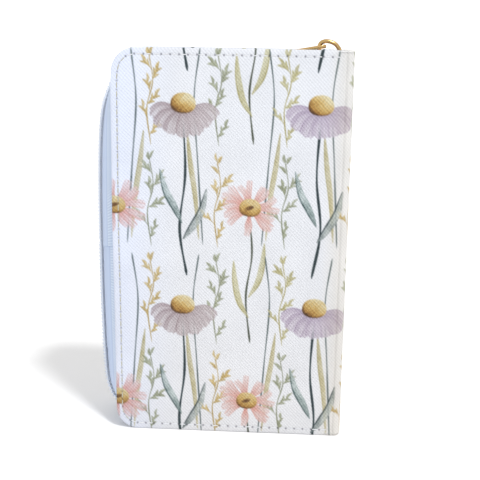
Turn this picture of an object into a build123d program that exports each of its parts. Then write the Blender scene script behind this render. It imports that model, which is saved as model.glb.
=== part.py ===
"""Zip-around pocket prayer book, standing closed on its bottom edge.

Frame: millimetres, +Z up along the height of the book.  The back cover faces
-Y, the front cover faces +Y, the spine is at +X and the fore edge at -X.  The
origin is at the bottom centre of the bounding box.

The case is a printed leathercloth skin over stiff boards, lined inside.  A
coil zip is sewn inside the edges of both covers and runs round the top, the
fore edge and the bottom.  The book block is seven sewn signatures with a
flyleaf on each side, glued to the spine through a strip of mull.
"""
import os
from math import cos, radians, sin

from build123d import *

os.makedirs("parts", exist_ok=True)

# ------------------------------------------------------------------ dimensions
H = 147.0            # height of the covers
T = 28.0             # overall thickness, cover face to cover face
X_SPINE = 48.1       # outer face of the spine
X_FORE = -39.3       # fore edge of the covers
X_HINGE = 45.2       # fold line between each cover and the spine
HINGE_GAP = 0.30     # slit between a cover's skin and the spine's skin
R_CORNER = 8.5       # round corners of the covers at the fore edge
EDGE_R = 0.9         # soft outer edge of the covers

SKIN = 0.9           # leathercloth
BOARD = 1.6          # cover board
LINING = 0.4         # inner lining
PASTE = 0.2          # pasted-down half of each endpaper
Y_OUT = T / 2
Y_SKIN_IN = Y_OUT - SKIN
Y_BOARD_IN = Y_SKIN_IN - BOARD
Y_LINING_IN = Y_BOARD_IN - LINING
Y_PASTE_IN = Y_LINING_IN - PASTE
X_BOARD_END = 40.5   # boards and linings stop here so that the skin can fold
X_PANEL_END = X_HINGE - HINGE_GAP / 2

SPINE_BOARD = 1.2
SPINE_R = 2.7        # rounded outer edges of the spine
SPINE_IN = X_HINGE + HINGE_GAP / 2

STITCH_IN = 2.4      # seam distance from the cover's edge
STITCH_W = 0.55
STITCH_T = 0.18
SEAM_DEPTH = 0.20    # the seam lies in a pressed groove, just under the surface

# book block
Z_LOW = 7.6
Z_HIGH = 139.0
X_PAGE = -34.4       # fore edge of the pages
X_FOLD = 44.9        # folds of the signatures
MULL = 0.5
R_PAGE = 5.0
N_SIG = 7
Y_BLOCK = 10.5       # half thickness of the seven signatures
SIG_GAP = 0.1
FLY_T = 0.2
FLY_Y = 10.62        # inner face of each flyleaf
FLY_START = 0.5      # the flyleaf starts this far in front of its fold line

# zip
COIL_W = 1.5         # half chain, across the book
COIL_T = 2.4         # coil height
COIL_GAP = 0.02
TAPE_T = 0.5
COIL_END = 41.0
TAPE_END = 44.0
ZT = 144.2           # outer face of the coil on the top run
ZB = 2.9             # outer face of the coil on the bottom run

# slider and pull
SL_X0, SL_X1 = 34.4, 44.1
SL_W = 8.2
PIVOT_X, PIVOT_Z = 37.4, 148.25
PULL_TILT = 10.0     # the pull lies on the chain, its free end lower
PULL_L = 20.0
PULL_T = 1.3

SIG_T = (2 * Y_BLOCK - (N_SIG - 1) * SIG_GAP) / N_SIG


def write(builder, name):
    """Label a finished piece and write its STEP file."""
    builder.part.label = name
    export_step(builder.part, f"parts/{name}.step")


# --------------------------------------------------- rails parallel to the edges
def seam_rail(inset, x_end):
    """Corner points of a line parallel to the cover's top, fore and bottom edges."""
    r = R_CORNER - inset
    x0, z0, z1 = X_FORE + inset, inset, H - inset
    k = r * (1 - cos(radians(45)))
    return [
        ((x_end, z1), None, (x0 + r, z1)),
        ((x0 + r, z1), (x0 + k, z1 - k), (x0, z1 - r)),
        ((x0, z1 - r), None, (x0, z0 + r)),
        ((x0, z0 + r), (x0 + k, z0 + k), (x0 + r, z0)),
        ((x0 + r, z0), None, (x_end, z0)),
    ]


def draw_band(outer, inner):
    """Closed outline between two open rails, inside an active BuildLine."""
    for a, m, b in outer:
        Line(a, b) if m is None else ThreePointArc(a, m, b)
    Line(outer[-1][2], inner[-1][2])
    for a, m, b in reversed(inner):
        Line(b, a) if m is None else ThreePointArc(b, m, a)
    Line(inner[0][0], outer[0][0])


# ---------------------------------------------------------- covers: the skins
CX = (X_FORE + X_PANEL_END) / 2
CW = X_PANEL_END - X_FORE

with BuildPart() as back_cover_skin:
    # outer face and turned edge, as a shallow tray that opens to the inside
    with BuildSketch(Plane.XZ.offset(Y_BOARD_IN)) as outline:
        with Locations((CX, H / 2)):
            Rectangle(CW, H)
        fillet(outline.vertices().group_by(Axis.X)[0], radius=R_CORNER)
        fillet(outline.vertices().group_by(Axis.X)[-1], radius=0.8)
    extrude(amount=Y_OUT - Y_BOARD_IN)
    with BuildSketch(Plane.XZ.offset(Y_BOARD_IN)) as pocket:
        with Locations(((X_FORE + SKIN + X_PANEL_END + 1) / 2, H / 2)):
            Rectangle(X_PANEL_END + 1 - X_FORE - SKIN, H - 2 * SKIN)
        fillet(pocket.vertices().group_by(Axis.X)[0], radius=R_CORNER - SKIN)
    extrude(amount=BOARD, mode=Mode.SUBTRACT)
    rim = (
        back_cover_skin.edges()
        .filter_by(lambda e: abs(e.center().Y + Y_OUT) < 1e-4)
        .filter_by(lambda e: e.center().X < X_PANEL_END - 1.0)
    )
    fillet(rim, radius=EDGE_R * 0.85)
    with BuildSketch(Plane.XZ.offset(Y_OUT - SEAM_DEPTH)):
        with BuildLine():
            draw_band(
                seam_rail(STITCH_IN - STITCH_W / 2 - 0.03, X_PANEL_END - 1.17),
                seam_rail(STITCH_IN + STITCH_W / 2 + 0.03, X_PANEL_END - 1.17),
            )
        make_face()
    extrude(amount=SEAM_DEPTH + 0.1, mode=Mode.SUBTRACT)
write(back_cover_skin, "back_cover_skin")

with BuildPart() as front_cover_skin:
    add(mirror(back_cover_skin.part, about=Plane.XZ))
write(front_cover_skin, "front_cover_skin")

# ---------------------------------------------------------- covers: the boards
with BuildPart() as back_cover_board:
    with BuildSketch(Plane.XZ.offset(Y_BOARD_IN)) as outline:
        with Locations(((X_FORE + SKIN + X_BOARD_END) / 2, H / 2)):
            Rectangle(X_BOARD_END - X_FORE - SKIN, H - 2 * SKIN)
        fillet(outline.vertices().group_by(Axis.X)[0], radius=R_CORNER - SKIN)
    extrude(amount=BOARD)
write(back_cover_board, "back_cover_board")

with BuildPart() as front_cover_board:
    add(mirror(back_cover_board.part, about=Plane.XZ))
write(front_cover_board, "front_cover_board")

# --------------------------------------------------------- covers: the linings
LIN_IN = 1.2
with BuildPart() as back_cover_lining:
    with BuildSketch(Plane.XZ.offset(Y_LINING_IN)) as outline:
        with Locations(((X_FORE + LIN_IN + X_BOARD_END) / 2, H / 2)):
            Rectangle(X_BOARD_END - X_FORE - LIN_IN, H - 2 * LIN_IN)
        fillet(outline.vertices().group_by(Axis.X)[0], radius=R_CORNER - LIN_IN)
    extrude(amount=LINING)
write(back_cover_lining, "back_cover_lining")

with BuildPart() as front_cover_lining:
    add(mirror(back_cover_lining.part, about=Plane.XZ))
write(front_cover_lining, "front_cover_lining")

# ------------------------------------- endpapers: the halves pasted to the case
with BuildPart() as back_pastedown:
    with BuildSketch(Plane.XZ.offset(Y_PASTE_IN)) as outline:
        with Locations(((X_PAGE + 0.6 + X_BOARD_END - 0.3) / 2, (Z_LOW + Z_HIGH) / 2)):
            Rectangle(X_BOARD_END - 0.3 - X_PAGE - 0.6, Z_HIGH - Z_LOW)
        fillet(outline.vertices().group_by(Axis.X)[0], radius=R_PAGE)
    extrude(amount=PASTE)
write(back_pastedown, "back_pastedown")

with BuildPart() as front_pastedown:
    add(mirror(back_pastedown.part, about=Plane.XZ))
write(front_pastedown, "front_pastedown")

# ------------------------------------------- edge seam thread round each cover
with BuildPart() as back_seam_thread:
    with BuildSketch(Plane.XZ.offset(Y_OUT - SEAM_DEPTH)):
        with BuildLine():
            draw_band(
                seam_rail(STITCH_IN - STITCH_W / 2, X_PANEL_END - 1.2),
                seam_rail(STITCH_IN + STITCH_W / 2, X_PANEL_END - 1.2),
            )
        make_face()
    extrude(amount=STITCH_T)
write(back_seam_thread, "back_seam_thread")

with BuildPart() as front_seam_thread:
    add(mirror(back_seam_thread.part, about=Plane.XZ))
write(front_seam_thread, "front_seam_thread")


# ------------------------------------------------------------------- zip halves
def coil_rail(depth, x_end):
    """The chain's rail, depth below the outer face of the coil.

    The chain is recessed along the top and bottom and bows out beyond the
    covers along the fore edge.
    """
    d = depth
    p = [
        (x_end, ZT - d),
        (-29.5, ZT - d),
        (-39.9 + 0.72 * d, 139.6 - 0.70 * d),
        (-44.7 + 0.98 * d, 129.5 - 0.25 * d),
        (-48.1 + d, 76.0),
        (-46.1 + 0.99 * d, 17.0 + 0.15 * d),
        (-41.6 + 0.72 * d, 7.2 + 0.70 * d),
        (-31.0, ZB + d),
        (x_end, ZB + d),
    ]
    return [
        (p[0], None, p[1]),
        (p[1], p[2], p[3]),
        (p[3], p[4], p[5]),
        (p[5], p[6], p[7]),
        (p[7], None, p[8]),
    ]


with BuildPart() as back_zip_coil:
    with BuildSketch(Plane.XZ.offset(COIL_GAP)):
        with BuildLine():
            draw_band(coil_rail(0.0, COIL_END), coil_rail(COIL_T, COIL_END))
        make_face()
    extrude(amount=COIL_W)
write(back_zip_coil, "back_zip_coil")

with BuildPart() as front_zip_coil:
    add(mirror(back_zip_coil.part, about=Plane.XZ))
write(front_zip_coil, "front_zip_coil")

TAPE_D = 1.7         # outer face of the tape below the outer face of the coil
with BuildPart() as back_zip_tape:
    # sewn edge, flat against the lining just inside the cover's edge
    with BuildSketch(Plane.XZ.offset(Y_LINING_IN - 0.02)):
        with BuildLine():
            draw_band(seam_rail(1.3, TAPE_END), seam_rail(1.3 + TAPE_T, TAPE_END))
        make_face()
    # edge that carries the coil
    with BuildSketch(Plane.XZ.offset(COIL_GAP + COIL_W + 0.02)):
        with BuildLine():
            draw_band(
                coil_rail(TAPE_D, TAPE_END), coil_rail(TAPE_D + TAPE_T, TAPE_END)
            )
        make_face()
    loft(ruled=True)
write(back_zip_tape, "back_zip_tape")

with BuildPart() as front_zip_tape:
    add(mirror(back_zip_tape.part, about=Plane.XZ))
write(front_zip_tape, "front_zip_tape")

# crimped metal stops at the ends of the two chains, just past the slider
with BuildPart() as back_top_stop:
    with BuildSketch(Plane.YZ.offset(44.25)):
        with Locations((-2.7, 143.0)):
            RectangleRounded(1.7, 2.6, 0.4)
    extrude(amount=1.0)
    fillet(back_top_stop.edges().group_by(Axis.X)[-1], radius=0.25)
write(back_top_stop, "back_top_stop")

with BuildPart() as front_top_stop:
    add(mirror(back_top_stop.part, about=Plane.XZ))
write(front_top_stop, "front_top_stop")

# clip that holds the two chains together at the bottom end, by the spine
with BuildPart() as bottom_stop:
    with BuildSketch(Plane.YZ.offset(COIL_END + 0.15)):
        with Locations((0, ZB + COIL_T / 2)):
            RectangleRounded(2.96, 3.4, 0.6)
    extrude(amount=2.2)
    fillet(bottom_stop.edges().filter_by(Axis.X, reverse=True), radius=0.25)
write(bottom_stop, "bottom_stop")

# ------------------------------------------------------------------- the slider
SL_TOP = 145.4
SL_BOT = 140.55
with BuildPart() as slider_body:
    # upper and lower shields, broad at the mouth and narrow at the tail
    with BuildSketch(Plane.XY.offset(SL_BOT)) as shield:
        with BuildLine():
            Polyline(
                (SL_X0, -2.9), (SL_X0 + 4.5, -3.1), (SL_X1 - 2.0, -SL_W / 2),
                (SL_X1, -SL_W / 2 + 1.2), (SL_X1, SL_W / 2 - 1.2),
                (SL_X1 - 2.0, SL_W / 2), (SL_X0 + 4.5, 3.1), (SL_X0, 2.9),
                close=True,
            )
        make_face()
        fillet(shield.vertices().group_by(Axis.X)[0], radius=1.0)
        fillet(shield.vertices().group_by(Axis.X)[-1], radius=1.0)
    extrude(amount=SL_TOP - SL_BOT)
    # channel for the closed chain, from the tail to the wedge
    with BuildSketch(Plane.XY.offset(141.5)):
        with Locations(((SL_X0 - 1 + 41.3) / 2, 0)):
            Rectangle(41.3 - SL_X0 + 1, 4.2)
    extrude(amount=3.0, mode=Mode.SUBTRACT)
    # the two mouths, one each side of the wedge
    with BuildSketch(Plane.XY.offset(141.5)):
        with BuildLine():
            Polyline((40.0, 0.4), (41.3, 0.45), (SL_X1 + 1, 1.6), (SL_X1 + 1, 3.4),
                     (SL_X1 - 2.0, 3.1), (40.0, 2.1), close=True)
        make_face()
        mirror(about=Plane.XZ)
    extrude(amount=3.0, mode=Mode.SUBTRACT)
    # slots for the tapes along both sides
    with BuildSketch(Plane.XY.offset(141.9)):
        with Locations(((SL_X0 + SL_X1) / 2, 3.5), ((SL_X0 + SL_X1) / 2, -3.5)):
            Rectangle(SL_X1 - SL_X0 + 2, 4.0)
    extrude(amount=1.8, mode=Mode.SUBTRACT)
    fillet(
        slider_body.edges().filter_by(lambda e: abs(e.center().Z - SL_TOP) < 1e-4),
        radius=0.35,
    )
write(slider_body, "slider_body")

with BuildPart() as slider_bridge:
    # arched strap over the slider that carries the pull
    with BuildSketch(Plane.XZ.offset(-1.1)):
        with BuildLine():
            Line((36.2, SL_TOP), (35.0, SL_TOP))
            Line((35.0, SL_TOP), (35.0, 148.5))
            ThreePointArc((35.0, 148.5), (35.95, 150.2), (38.2, 150.8))
            ThreePointArc((38.2, 150.8), (41.6, 149.9), (43.9, 147.4))
            Line((43.9, 147.4), (43.9, SL_TOP))
            Line((43.9, SL_TOP), (42.6, SL_TOP))
            Line((42.6, SL_TOP), (42.6, 147.2))
            ThreePointArc((42.6, 147.2), (40.9, 148.9), (38.2, 149.6))
            ThreePointArc((38.2, 149.6), (36.8, 149.35), (36.2, 148.3))
            Line((36.2, 148.3), (36.2, SL_TOP))
        make_face()
    extrude(amount=2.2)
write(slider_bridge, "slider_bridge")

# --------------------------------------------------------------------- the pull
c, s = cos(radians(PULL_TILT)), sin(radians(PULL_TILT))
pull_plane = Plane(
    origin=(PIVOT_X, 0, PIVOT_Z), x_dir=(-c, 0, -s), z_dir=(-s, 0, c)
)
with BuildPart() as pull_tab:
    with BuildSketch(pull_plane.offset(-PULL_T / 2)) as outline:
        with BuildLine():
            Polyline((-0.65, -2.3), (PULL_L - 3, -3.1), (PULL_L, -3.1), (PULL_L, 3.1),
                     (PULL_L - 3, 3.1), (-0.65, 2.3), close=True)
        make_face()
        fillet(outline.vertices().group_by(Axis.X)[0], radius=0.6)
        fillet(outline.vertices().group_by(Axis.X)[-1], radius=2.6)
        with Locations((2.6, 0)):
            RectangleRounded(3.7, 2.9, 0.7, mode=Mode.SUBTRACT)
    extrude(amount=PULL_T)
    fillet(
        pull_tab.edges().filter_by(
            lambda e: e.length > 2.0 and e.center().X < PIVOT_X - 5.5
        ),
        radius=0.3,
    )
write(pull_tab, "pull_tab")

# -------------------------------------------------------------------- the spine
with BuildPart() as spine_skin:
    with BuildSketch(Plane.XY) as outline:
        with Locations(((SPINE_IN + X_SPINE) / 2, 0)):
            Rectangle(X_SPINE - SPINE_IN, T)
        fillet(outline.vertices().group_by(Axis.X)[-1], radius=SPINE_R)
    extrude(amount=H)
    fillet(
        spine_skin.edges().filter_by(
            lambda e: (e.center().Z < 1e-4 or e.center().Z > H - 1e-4)
            and e.center().X > SPINE_IN + 0.1
        ),
        radius=0.7,
    )
    with BuildSketch(Plane.XY.offset(SKIN)):
        with Locations(((SPINE_IN - 1 + X_SPINE - SKIN) / 2, 0)):
            Rectangle(X_SPINE - SKIN - SPINE_IN + 1, T - 2 * SPINE_R)
    extrude(amount=H - 2 * SKIN, mode=Mode.SUBTRACT)
write(spine_skin, "spine_skin")

with BuildPart() as spine_board:
    with BuildSketch(Plane.XY.offset(SKIN)):
        with Locations((X_SPINE - SKIN - SPINE_BOARD / 2, 0)):
            Rectangle(SPINE_BOARD, T - 2 * SPINE_R)
    extrude(amount=H - 2 * SKIN)
write(spine_board, "spine_board")

X_SPB = X_SPINE - SKIN - SPINE_BOARD
with BuildPart() as spine_lining:
    with BuildSketch(Plane.XY.offset(SKIN)):
        with Locations((X_SPB - LINING / 2, 0)):
            Rectangle(LINING, T - 2 * SPINE_R)
    extrude(amount=H - 2 * SKIN)
write(spine_lining, "spine_lining")

# --------------------------------------------------------------- the book block
X_MULL = X_SPB - LINING
with BuildPart() as mull:
    # gauze and glue between the folds and the spine
    with BuildSketch(Plane.XY.offset(Z_LOW)):
        with Locations(((X_FOLD + 0.05 + X_MULL) / 2, 0)):
            Rectangle(X_MULL - X_FOLD - 0.05, 2 * Y_BLOCK - 0.3)
    extrude(amount=Z_HIGH - Z_LOW)
write(mull, "mull")

sig_mid = [
    Y_BLOCK - SIG_T / 2 - i * (SIG_T + SIG_GAP) for i in range(N_SIG)
]  # from the front cover to the back cover


def page_outline(sketch, x_end):
    """Outline of a page with round fore-edge corners, in an active sketch."""
    with Locations(((X_PAGE + x_end) / 2, (Z_LOW + Z_HIGH) / 2)):
        Rectangle(x_end - X_PAGE, Z_HIGH - Z_LOW)
    fillet(sketch.vertices().group_by(Axis.X)[0], radius=R_PAGE)


RIB_T = 0.2          # silk ribbon
RIB_ROOM = 0.3       # the middle signature is this much thinner, for the ribbon
for number in range(1, N_SIG + 1):
    middle = sig_mid[number - 1]
    thick = SIG_T
    y_front = middle + SIG_T / 2
    if number == 4:
        thick = SIG_T - RIB_ROOM
        y_front = middle + SIG_T / 2 - RIB_ROOM
    with BuildPart() as signature:
        with BuildSketch(Plane.XZ.offset(-y_front)) as page:
            page_outline(page, X_FOLD)
        extrude(amount=thick)
        folds = signature.edges().filter_by(Axis.Z).filter_by(
            lambda e: e.center().X > X_FOLD - 0.01
        )
        if number == 4:
            fillet(folds, radius=0.5)
        elif number < 4:
            fillet(folds.sort_by(Axis.Y)[0], radius=0.8)
        else:
            fillet(folds.sort_by(Axis.Y)[-1], radius=0.8)
    write(signature, f"signature_{number}")

with BuildPart() as front_flyleaf:
    with BuildSketch(Plane.XZ.offset(-FLY_Y - FLY_T)) as page:
        page_outline(page, X_FOLD - FLY_START)
    extrude(amount=FLY_T)
write(front_flyleaf, "front_flyleaf")

with BuildPart() as back_flyleaf:
    with BuildSketch(Plane.XZ.offset(FLY_Y)) as page:
        page_outline(page, X_FOLD - FLY_START)
    extrude(amount=FLY_T)
write(back_flyleaf, "back_flyleaf")

# woven bands at the head and the tail of the folds
with BuildPart() as head_band:
    with BuildSketch(Plane.XZ.offset(-Y_BLOCK + 0.3)) as roll:
        with Locations((X_FOLD - 0.55, Z_HIGH + 0.60)):
            RectangleRounded(1.5, 1.1, 0.5)
    extrude(amount=2 * Y_BLOCK - 0.6)
write(head_band, "head_band")

with BuildPart() as tail_band:
    with BuildSketch(Plane.XZ.offset(-Y_BLOCK + 0.3)) as roll:
        with Locations((X_FOLD - 0.55, Z_LOW - 0.60)):
            RectangleRounded(1.5, 1.1, 0.5)
    extrude(amount=2 * Y_BLOCK - 0.6)
write(tail_band, "tail_band")

# silk ribbon that lies on the middle signature, its end below the pages
Y_RIB = sig_mid[3] + SIG_T / 2 - RIB_ROOM
with BuildPart() as ribbon_marker:
    with BuildSketch(Plane.XZ.offset(-Y_RIB - RIB_T - 0.02)):
        with BuildLine():
            Polyline((38.0, Z_HIGH), (38.0, 5.7), (40.6, 6.9), (43.2, 5.7),
                     (43.2, Z_HIGH), close=True)
        make_face()
    extrude(amount=RIB_T)
write(ribbon_marker, "ribbon_marker")
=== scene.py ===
"""Zip-around pocket prayer book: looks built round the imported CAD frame."""
import math

import bpy
import numpy as np
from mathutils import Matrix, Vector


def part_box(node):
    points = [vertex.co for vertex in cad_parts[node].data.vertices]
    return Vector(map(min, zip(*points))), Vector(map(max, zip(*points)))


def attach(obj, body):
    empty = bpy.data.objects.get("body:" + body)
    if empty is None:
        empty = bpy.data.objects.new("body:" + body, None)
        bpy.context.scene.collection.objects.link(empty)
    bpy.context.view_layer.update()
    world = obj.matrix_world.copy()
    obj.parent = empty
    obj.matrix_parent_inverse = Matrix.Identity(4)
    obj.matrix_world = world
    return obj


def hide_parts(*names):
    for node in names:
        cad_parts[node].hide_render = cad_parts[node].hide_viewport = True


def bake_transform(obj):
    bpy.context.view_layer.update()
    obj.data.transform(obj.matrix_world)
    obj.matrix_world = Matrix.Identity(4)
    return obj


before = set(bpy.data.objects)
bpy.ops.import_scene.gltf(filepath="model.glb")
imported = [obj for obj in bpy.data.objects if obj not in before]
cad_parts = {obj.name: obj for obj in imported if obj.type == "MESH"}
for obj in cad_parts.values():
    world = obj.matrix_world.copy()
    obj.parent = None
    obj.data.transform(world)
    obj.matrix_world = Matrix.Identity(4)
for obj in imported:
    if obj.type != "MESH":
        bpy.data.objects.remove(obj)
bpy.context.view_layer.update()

MM = 0.001
rng = np.random.default_rng(41)

# ------------------------------------------------------------------ dimensions
H = 147.0
XF, XS = -39.3, 48.1          # fore edge of the covers, outer face of the spine
Y = 14.0
XH = 45.2                     # fold line of each cover
XSPLIT = 42.0                 # the rigid panel ends here and the soft fold starts
RC = 8.5                      # round corners of the covers
RE = 0.8                      # soft outer edge
SEAM = 2.4
S_SPINE = XS - XF             # unwrapped width of one cover, up to the spine's face
DX, DZ = 0.20, 0.34           # skin mesh: finer across the print's upright stems

# ---------------------------------------------------------------------- camera
cam_data = bpy.data.cameras.new("camera")
cam = bpy.data.objects.new("camera", cam_data)
bpy.context.scene.collection.objects.link(cam)
cam_data.sensor_width = 36.0
cam_data.lens = 68.775
cam_data.clip_start = 0.01
yaw, pit, rol = math.radians(-3.228), math.radians(12.56), math.radians(0.934)
fw = np.array([math.sin(yaw) * math.cos(pit), math.cos(yaw) * math.cos(pit), -math.sin(pit)])
rt = np.array([math.cos(yaw), -math.sin(yaw), 0.0])
up = np.cross(rt, fw)
r2 = rt * math.cos(rol) + up * math.sin(rol)
u2 = -rt * math.sin(rol) + up * math.cos(rol)
from mathutils import Matrix

M = Matrix.Identity(4)
for i in range(3):
    M[i][0], M[i][1], M[i][2] = r2[i], u2[i], -fw[i]
M[0][3], M[1][3], M[2][3] = 0.02697, -0.34741, 0.15150
cam.matrix_world = M
bpy.context.scene.camera = cam
bpy.context.scene.view_settings.view_transform = "Standard"


# ================================================================ print artwork
PX = 6.6                      # canvas samples per mm
S0, T0 = -6.0, -6.0           # canvas origin in unwrapped mm
CW, CH = 2 * S_SPINE + 2 * Y + 12.0, H + 12.0
NX, NY = int(CW * PX), int(CH * PX)
art = np.ones((NY, NX, 3), np.float32)
ink = np.zeros((NY, NX), np.float32)


def value_noise(shape, cell, seed):
    """Smooth noise from a coarse random lattice, 0..1."""
    g = np.random.default_rng(seed)
    ny, nx = int(shape[0] / cell) + 3, int(shape[1] / cell) + 3
    lat = g.random((ny, nx)).astype(np.float32)
    yy, xx = np.arange(shape[0]) / cell, np.arange(shape[1]) / cell
    iy, ix = yy.astype(int), xx.astype(int)
    fy, fx = yy - iy, xx - ix
    fy, fx = (fy * fy * (3 - 2 * fy))[:, None], (fx * fx * (3 - 2 * fx))[None, :]
    a, b = lat[iy][:, ix], lat[iy][:, ix + 1]
    c, d = lat[iy + 1][:, ix], lat[iy + 1][:, ix + 1]
    return ((a * (1 - fx) + b * fx) * (1 - fy) + (c * (1 - fx) + d * fx) * fy).astype(np.float32)


NOISE = 0.6 * value_noise((NY, NX), 16, 5) + 0.4 * value_noise((NY, NX), 5, 6)


def smooth(points, n):
    """Catmull-Rom line through the points, n samples."""
    p = np.asarray(points, float)
    if len(p) == 2:
        w = np.linspace(0, 1, n)[:, None]
        return p[0] * (1 - w) + p[1] * w
    q = np.vstack([2 * p[0] - p[1], p, 2 * p[-1] - p[-2]])
    u = np.linspace(0, len(p) - 1 - 1e-9, n)
    i = u.astype(int)
    f = (u - i)[:, None]
    a, b, c, d = q[i], q[i + 1], q[i + 2], q[i + 3]
    return 0.5 * (2 * b + (c - a) * f + (2 * a - 5 * b + 4 * c - d) * f**2 + (3 * b - a - 3 * c + d) * f**3)


def window(lo, hi):
    x0 = max(int((lo[0] - S0) * PX) - 2, 0)
    x1 = min(int((hi[0] - S0) * PX) + 3, NX)
    y0 = max(int((lo[1] - T0) * PX) - 2, 0)
    y1 = min(int((hi[1] - T0) * PX) + 3, NY)
    if x1 <= x0 or y1 <= y0:
        return None
    xs = (np.arange(x0, x1) + 0.5) / PX + S0
    ys = (np.arange(y0, y1) + 0.5) / PX + T0
    return (slice(y0, y1), slice(x0, x1)), xs[None, :], ys[:, None]


def lay(sl, cov, col, wash):
    """Ink on the canvas: a transparent wash or nearly covering paint."""
    c = np.asarray(col, np.float32)
    if c.ndim == 1:
        c = c[None, None, :]
    cov = cov[:, :, None].astype(np.float32)
    a = art[sl]
    if wash:
        art[sl] = a * (1 - cov * (1 - c))
    else:
        art[sl] = a * (1 - cov) + c * cov
    ink[sl] = np.maximum(ink[sl], cov[:, :, 0])


def near(xs, ys, line, wid):
    """Best coverage, position along the line and signed offset for each canvas point."""
    best = np.full((ys.shape[0], xs.shape[1]), -1e9, np.float32)
    par = np.zeros_like(best)
    off = np.zeros_like(best)
    n = len(line)
    for i in range(n - 1):
        a, b = line[i], line[i + 1]
        d = b - a
        l2 = d @ d + 1e-12
        u = np.clip(((xs - a[0]) * d[0] + (ys - a[1]) * d[1]) / l2, 0, 1)
        dx, dy = xs - a[0] - u * d[0], ys - a[1] - u * d[1]
        dist = np.sqrt(dx * dx + dy * dy)
        w = wid[i] * (1 - u) + wid[i + 1] * u
        s = w - dist
        m = s > best
        best = np.where(m, s, best)
        par = np.where(m, (i + u) / (n - 1), par)
        side = np.sign(d[0] * dy - d[1] * dx)
        off = np.where(m, side * dist / np.maximum(w, 0.03), off)
    return best, par, off


def stroke(points, w0, w1, col, n=0, wash=True, strength=1.0, mid=None, jitter=0.25):
    """A thin brush line, in short chunks."""
    length = np.sum(np.linalg.norm(np.diff(np.asarray(points, float), axis=0), axis=1))
    n = n or max(6, int(length / 1.6))
    line = smooth(points, n)
    u = np.linspace(0, 1, n)
    wid = w0 + (w1 - w0) * u if mid is None else np.interp(u, [0, 0.5, 1], [w0, mid, w1])
    wid = wid * (1 + jitter * np.sin(u * 17 + points[0][0]))
    if not wash:
        run = np.minimum(u, 1 - u) * length
        wid = wid * np.clip(0.3 + run / 1.6, 0.3, 1)
    k = 8
    for i in range(0, n - 1, k):
        seg, ws = line[i : i + k + 1], wid[i : i + k + 1]
        m = ws.max() + 0.3
        win = window(seg.min(0) - m, seg.max(0) + m)
        if win is None:
            continue
        sl, xs, ys = win
        s, _, off = near(xs, ys, seg, ws)
        cov = np.clip(s * PX + 0.5, 0, 1)
        tone = (0.78 + 0.22 * np.abs(off)) * 0.9 if wash else 0.92 + 0.08 * np.abs(off)
        cov = cov * strength * tone * (1 + (0.3 if wash else 0.16) * (NOISE[sl] - 0.5))
        if i and wash:              # the chunks meet without a doubled join
            cov = np.where(np.hypot(xs - seg[0][0], ys - seg[0][1]) < ws[0], 0, cov)
        lay(sl, np.clip(cov, 0, 1), col, wash)


def blade(points, width, body, edge=None, n=18, tip=0.9, strength=0.9, wash=True, vein=0.25, base=0.15, lee=1):
    """A leaf: pale body, pigment gathered along one rim and at the foot, a soft vein."""
    line = smooth(points, n)
    u = np.linspace(0, 1, n)
    prof = np.sin(np.pi * np.clip(u * (1 - 0.02), 0, 1) ** tip) ** 0.75
    wid = width * np.maximum(prof, base * (1 - u)) + 0.02
    win = window(line.min(0) - width - 0.4, line.max(0) + width + 0.4)
    if win is None:
        return
    sl, xs, ys = win
    s, par, off = near(xs, ys, line, wid)
    cov = np.clip(s * PX + 0.5, 0, 1)
    body = np.asarray(body, np.float32)
    edge = body * 0.66 if edge is None else np.asarray(edge, np.float32)
    a = np.clip(off * lee, -1, 1)
    rim = np.clip((np.abs(off) - 0.45) / 0.55, 0, 1)
    mixv = 0.16 * rim + 1.1 * np.clip((a - 0.30) / 0.70, 0, 1) ** 1.2 + 0.42 * (1 - par) ** 3 + 0.8 * np.clip(par - 0.8, 0, 1)
    mixv = np.clip(mixv + vein * np.exp(-((off / 0.16) ** 2)) + 0.5 * (NOISE[sl] - 0.5), 0, 1)
    col = body[None, None] * (1 - mixv[..., None]) + edge[None, None] * mixv[..., None]
    cov = cov * strength * (0.86 + 0.3 * (NOISE[sl] - 0.5))
    lay(sl, np.clip(cov, 0, 1), col, wash)


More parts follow.
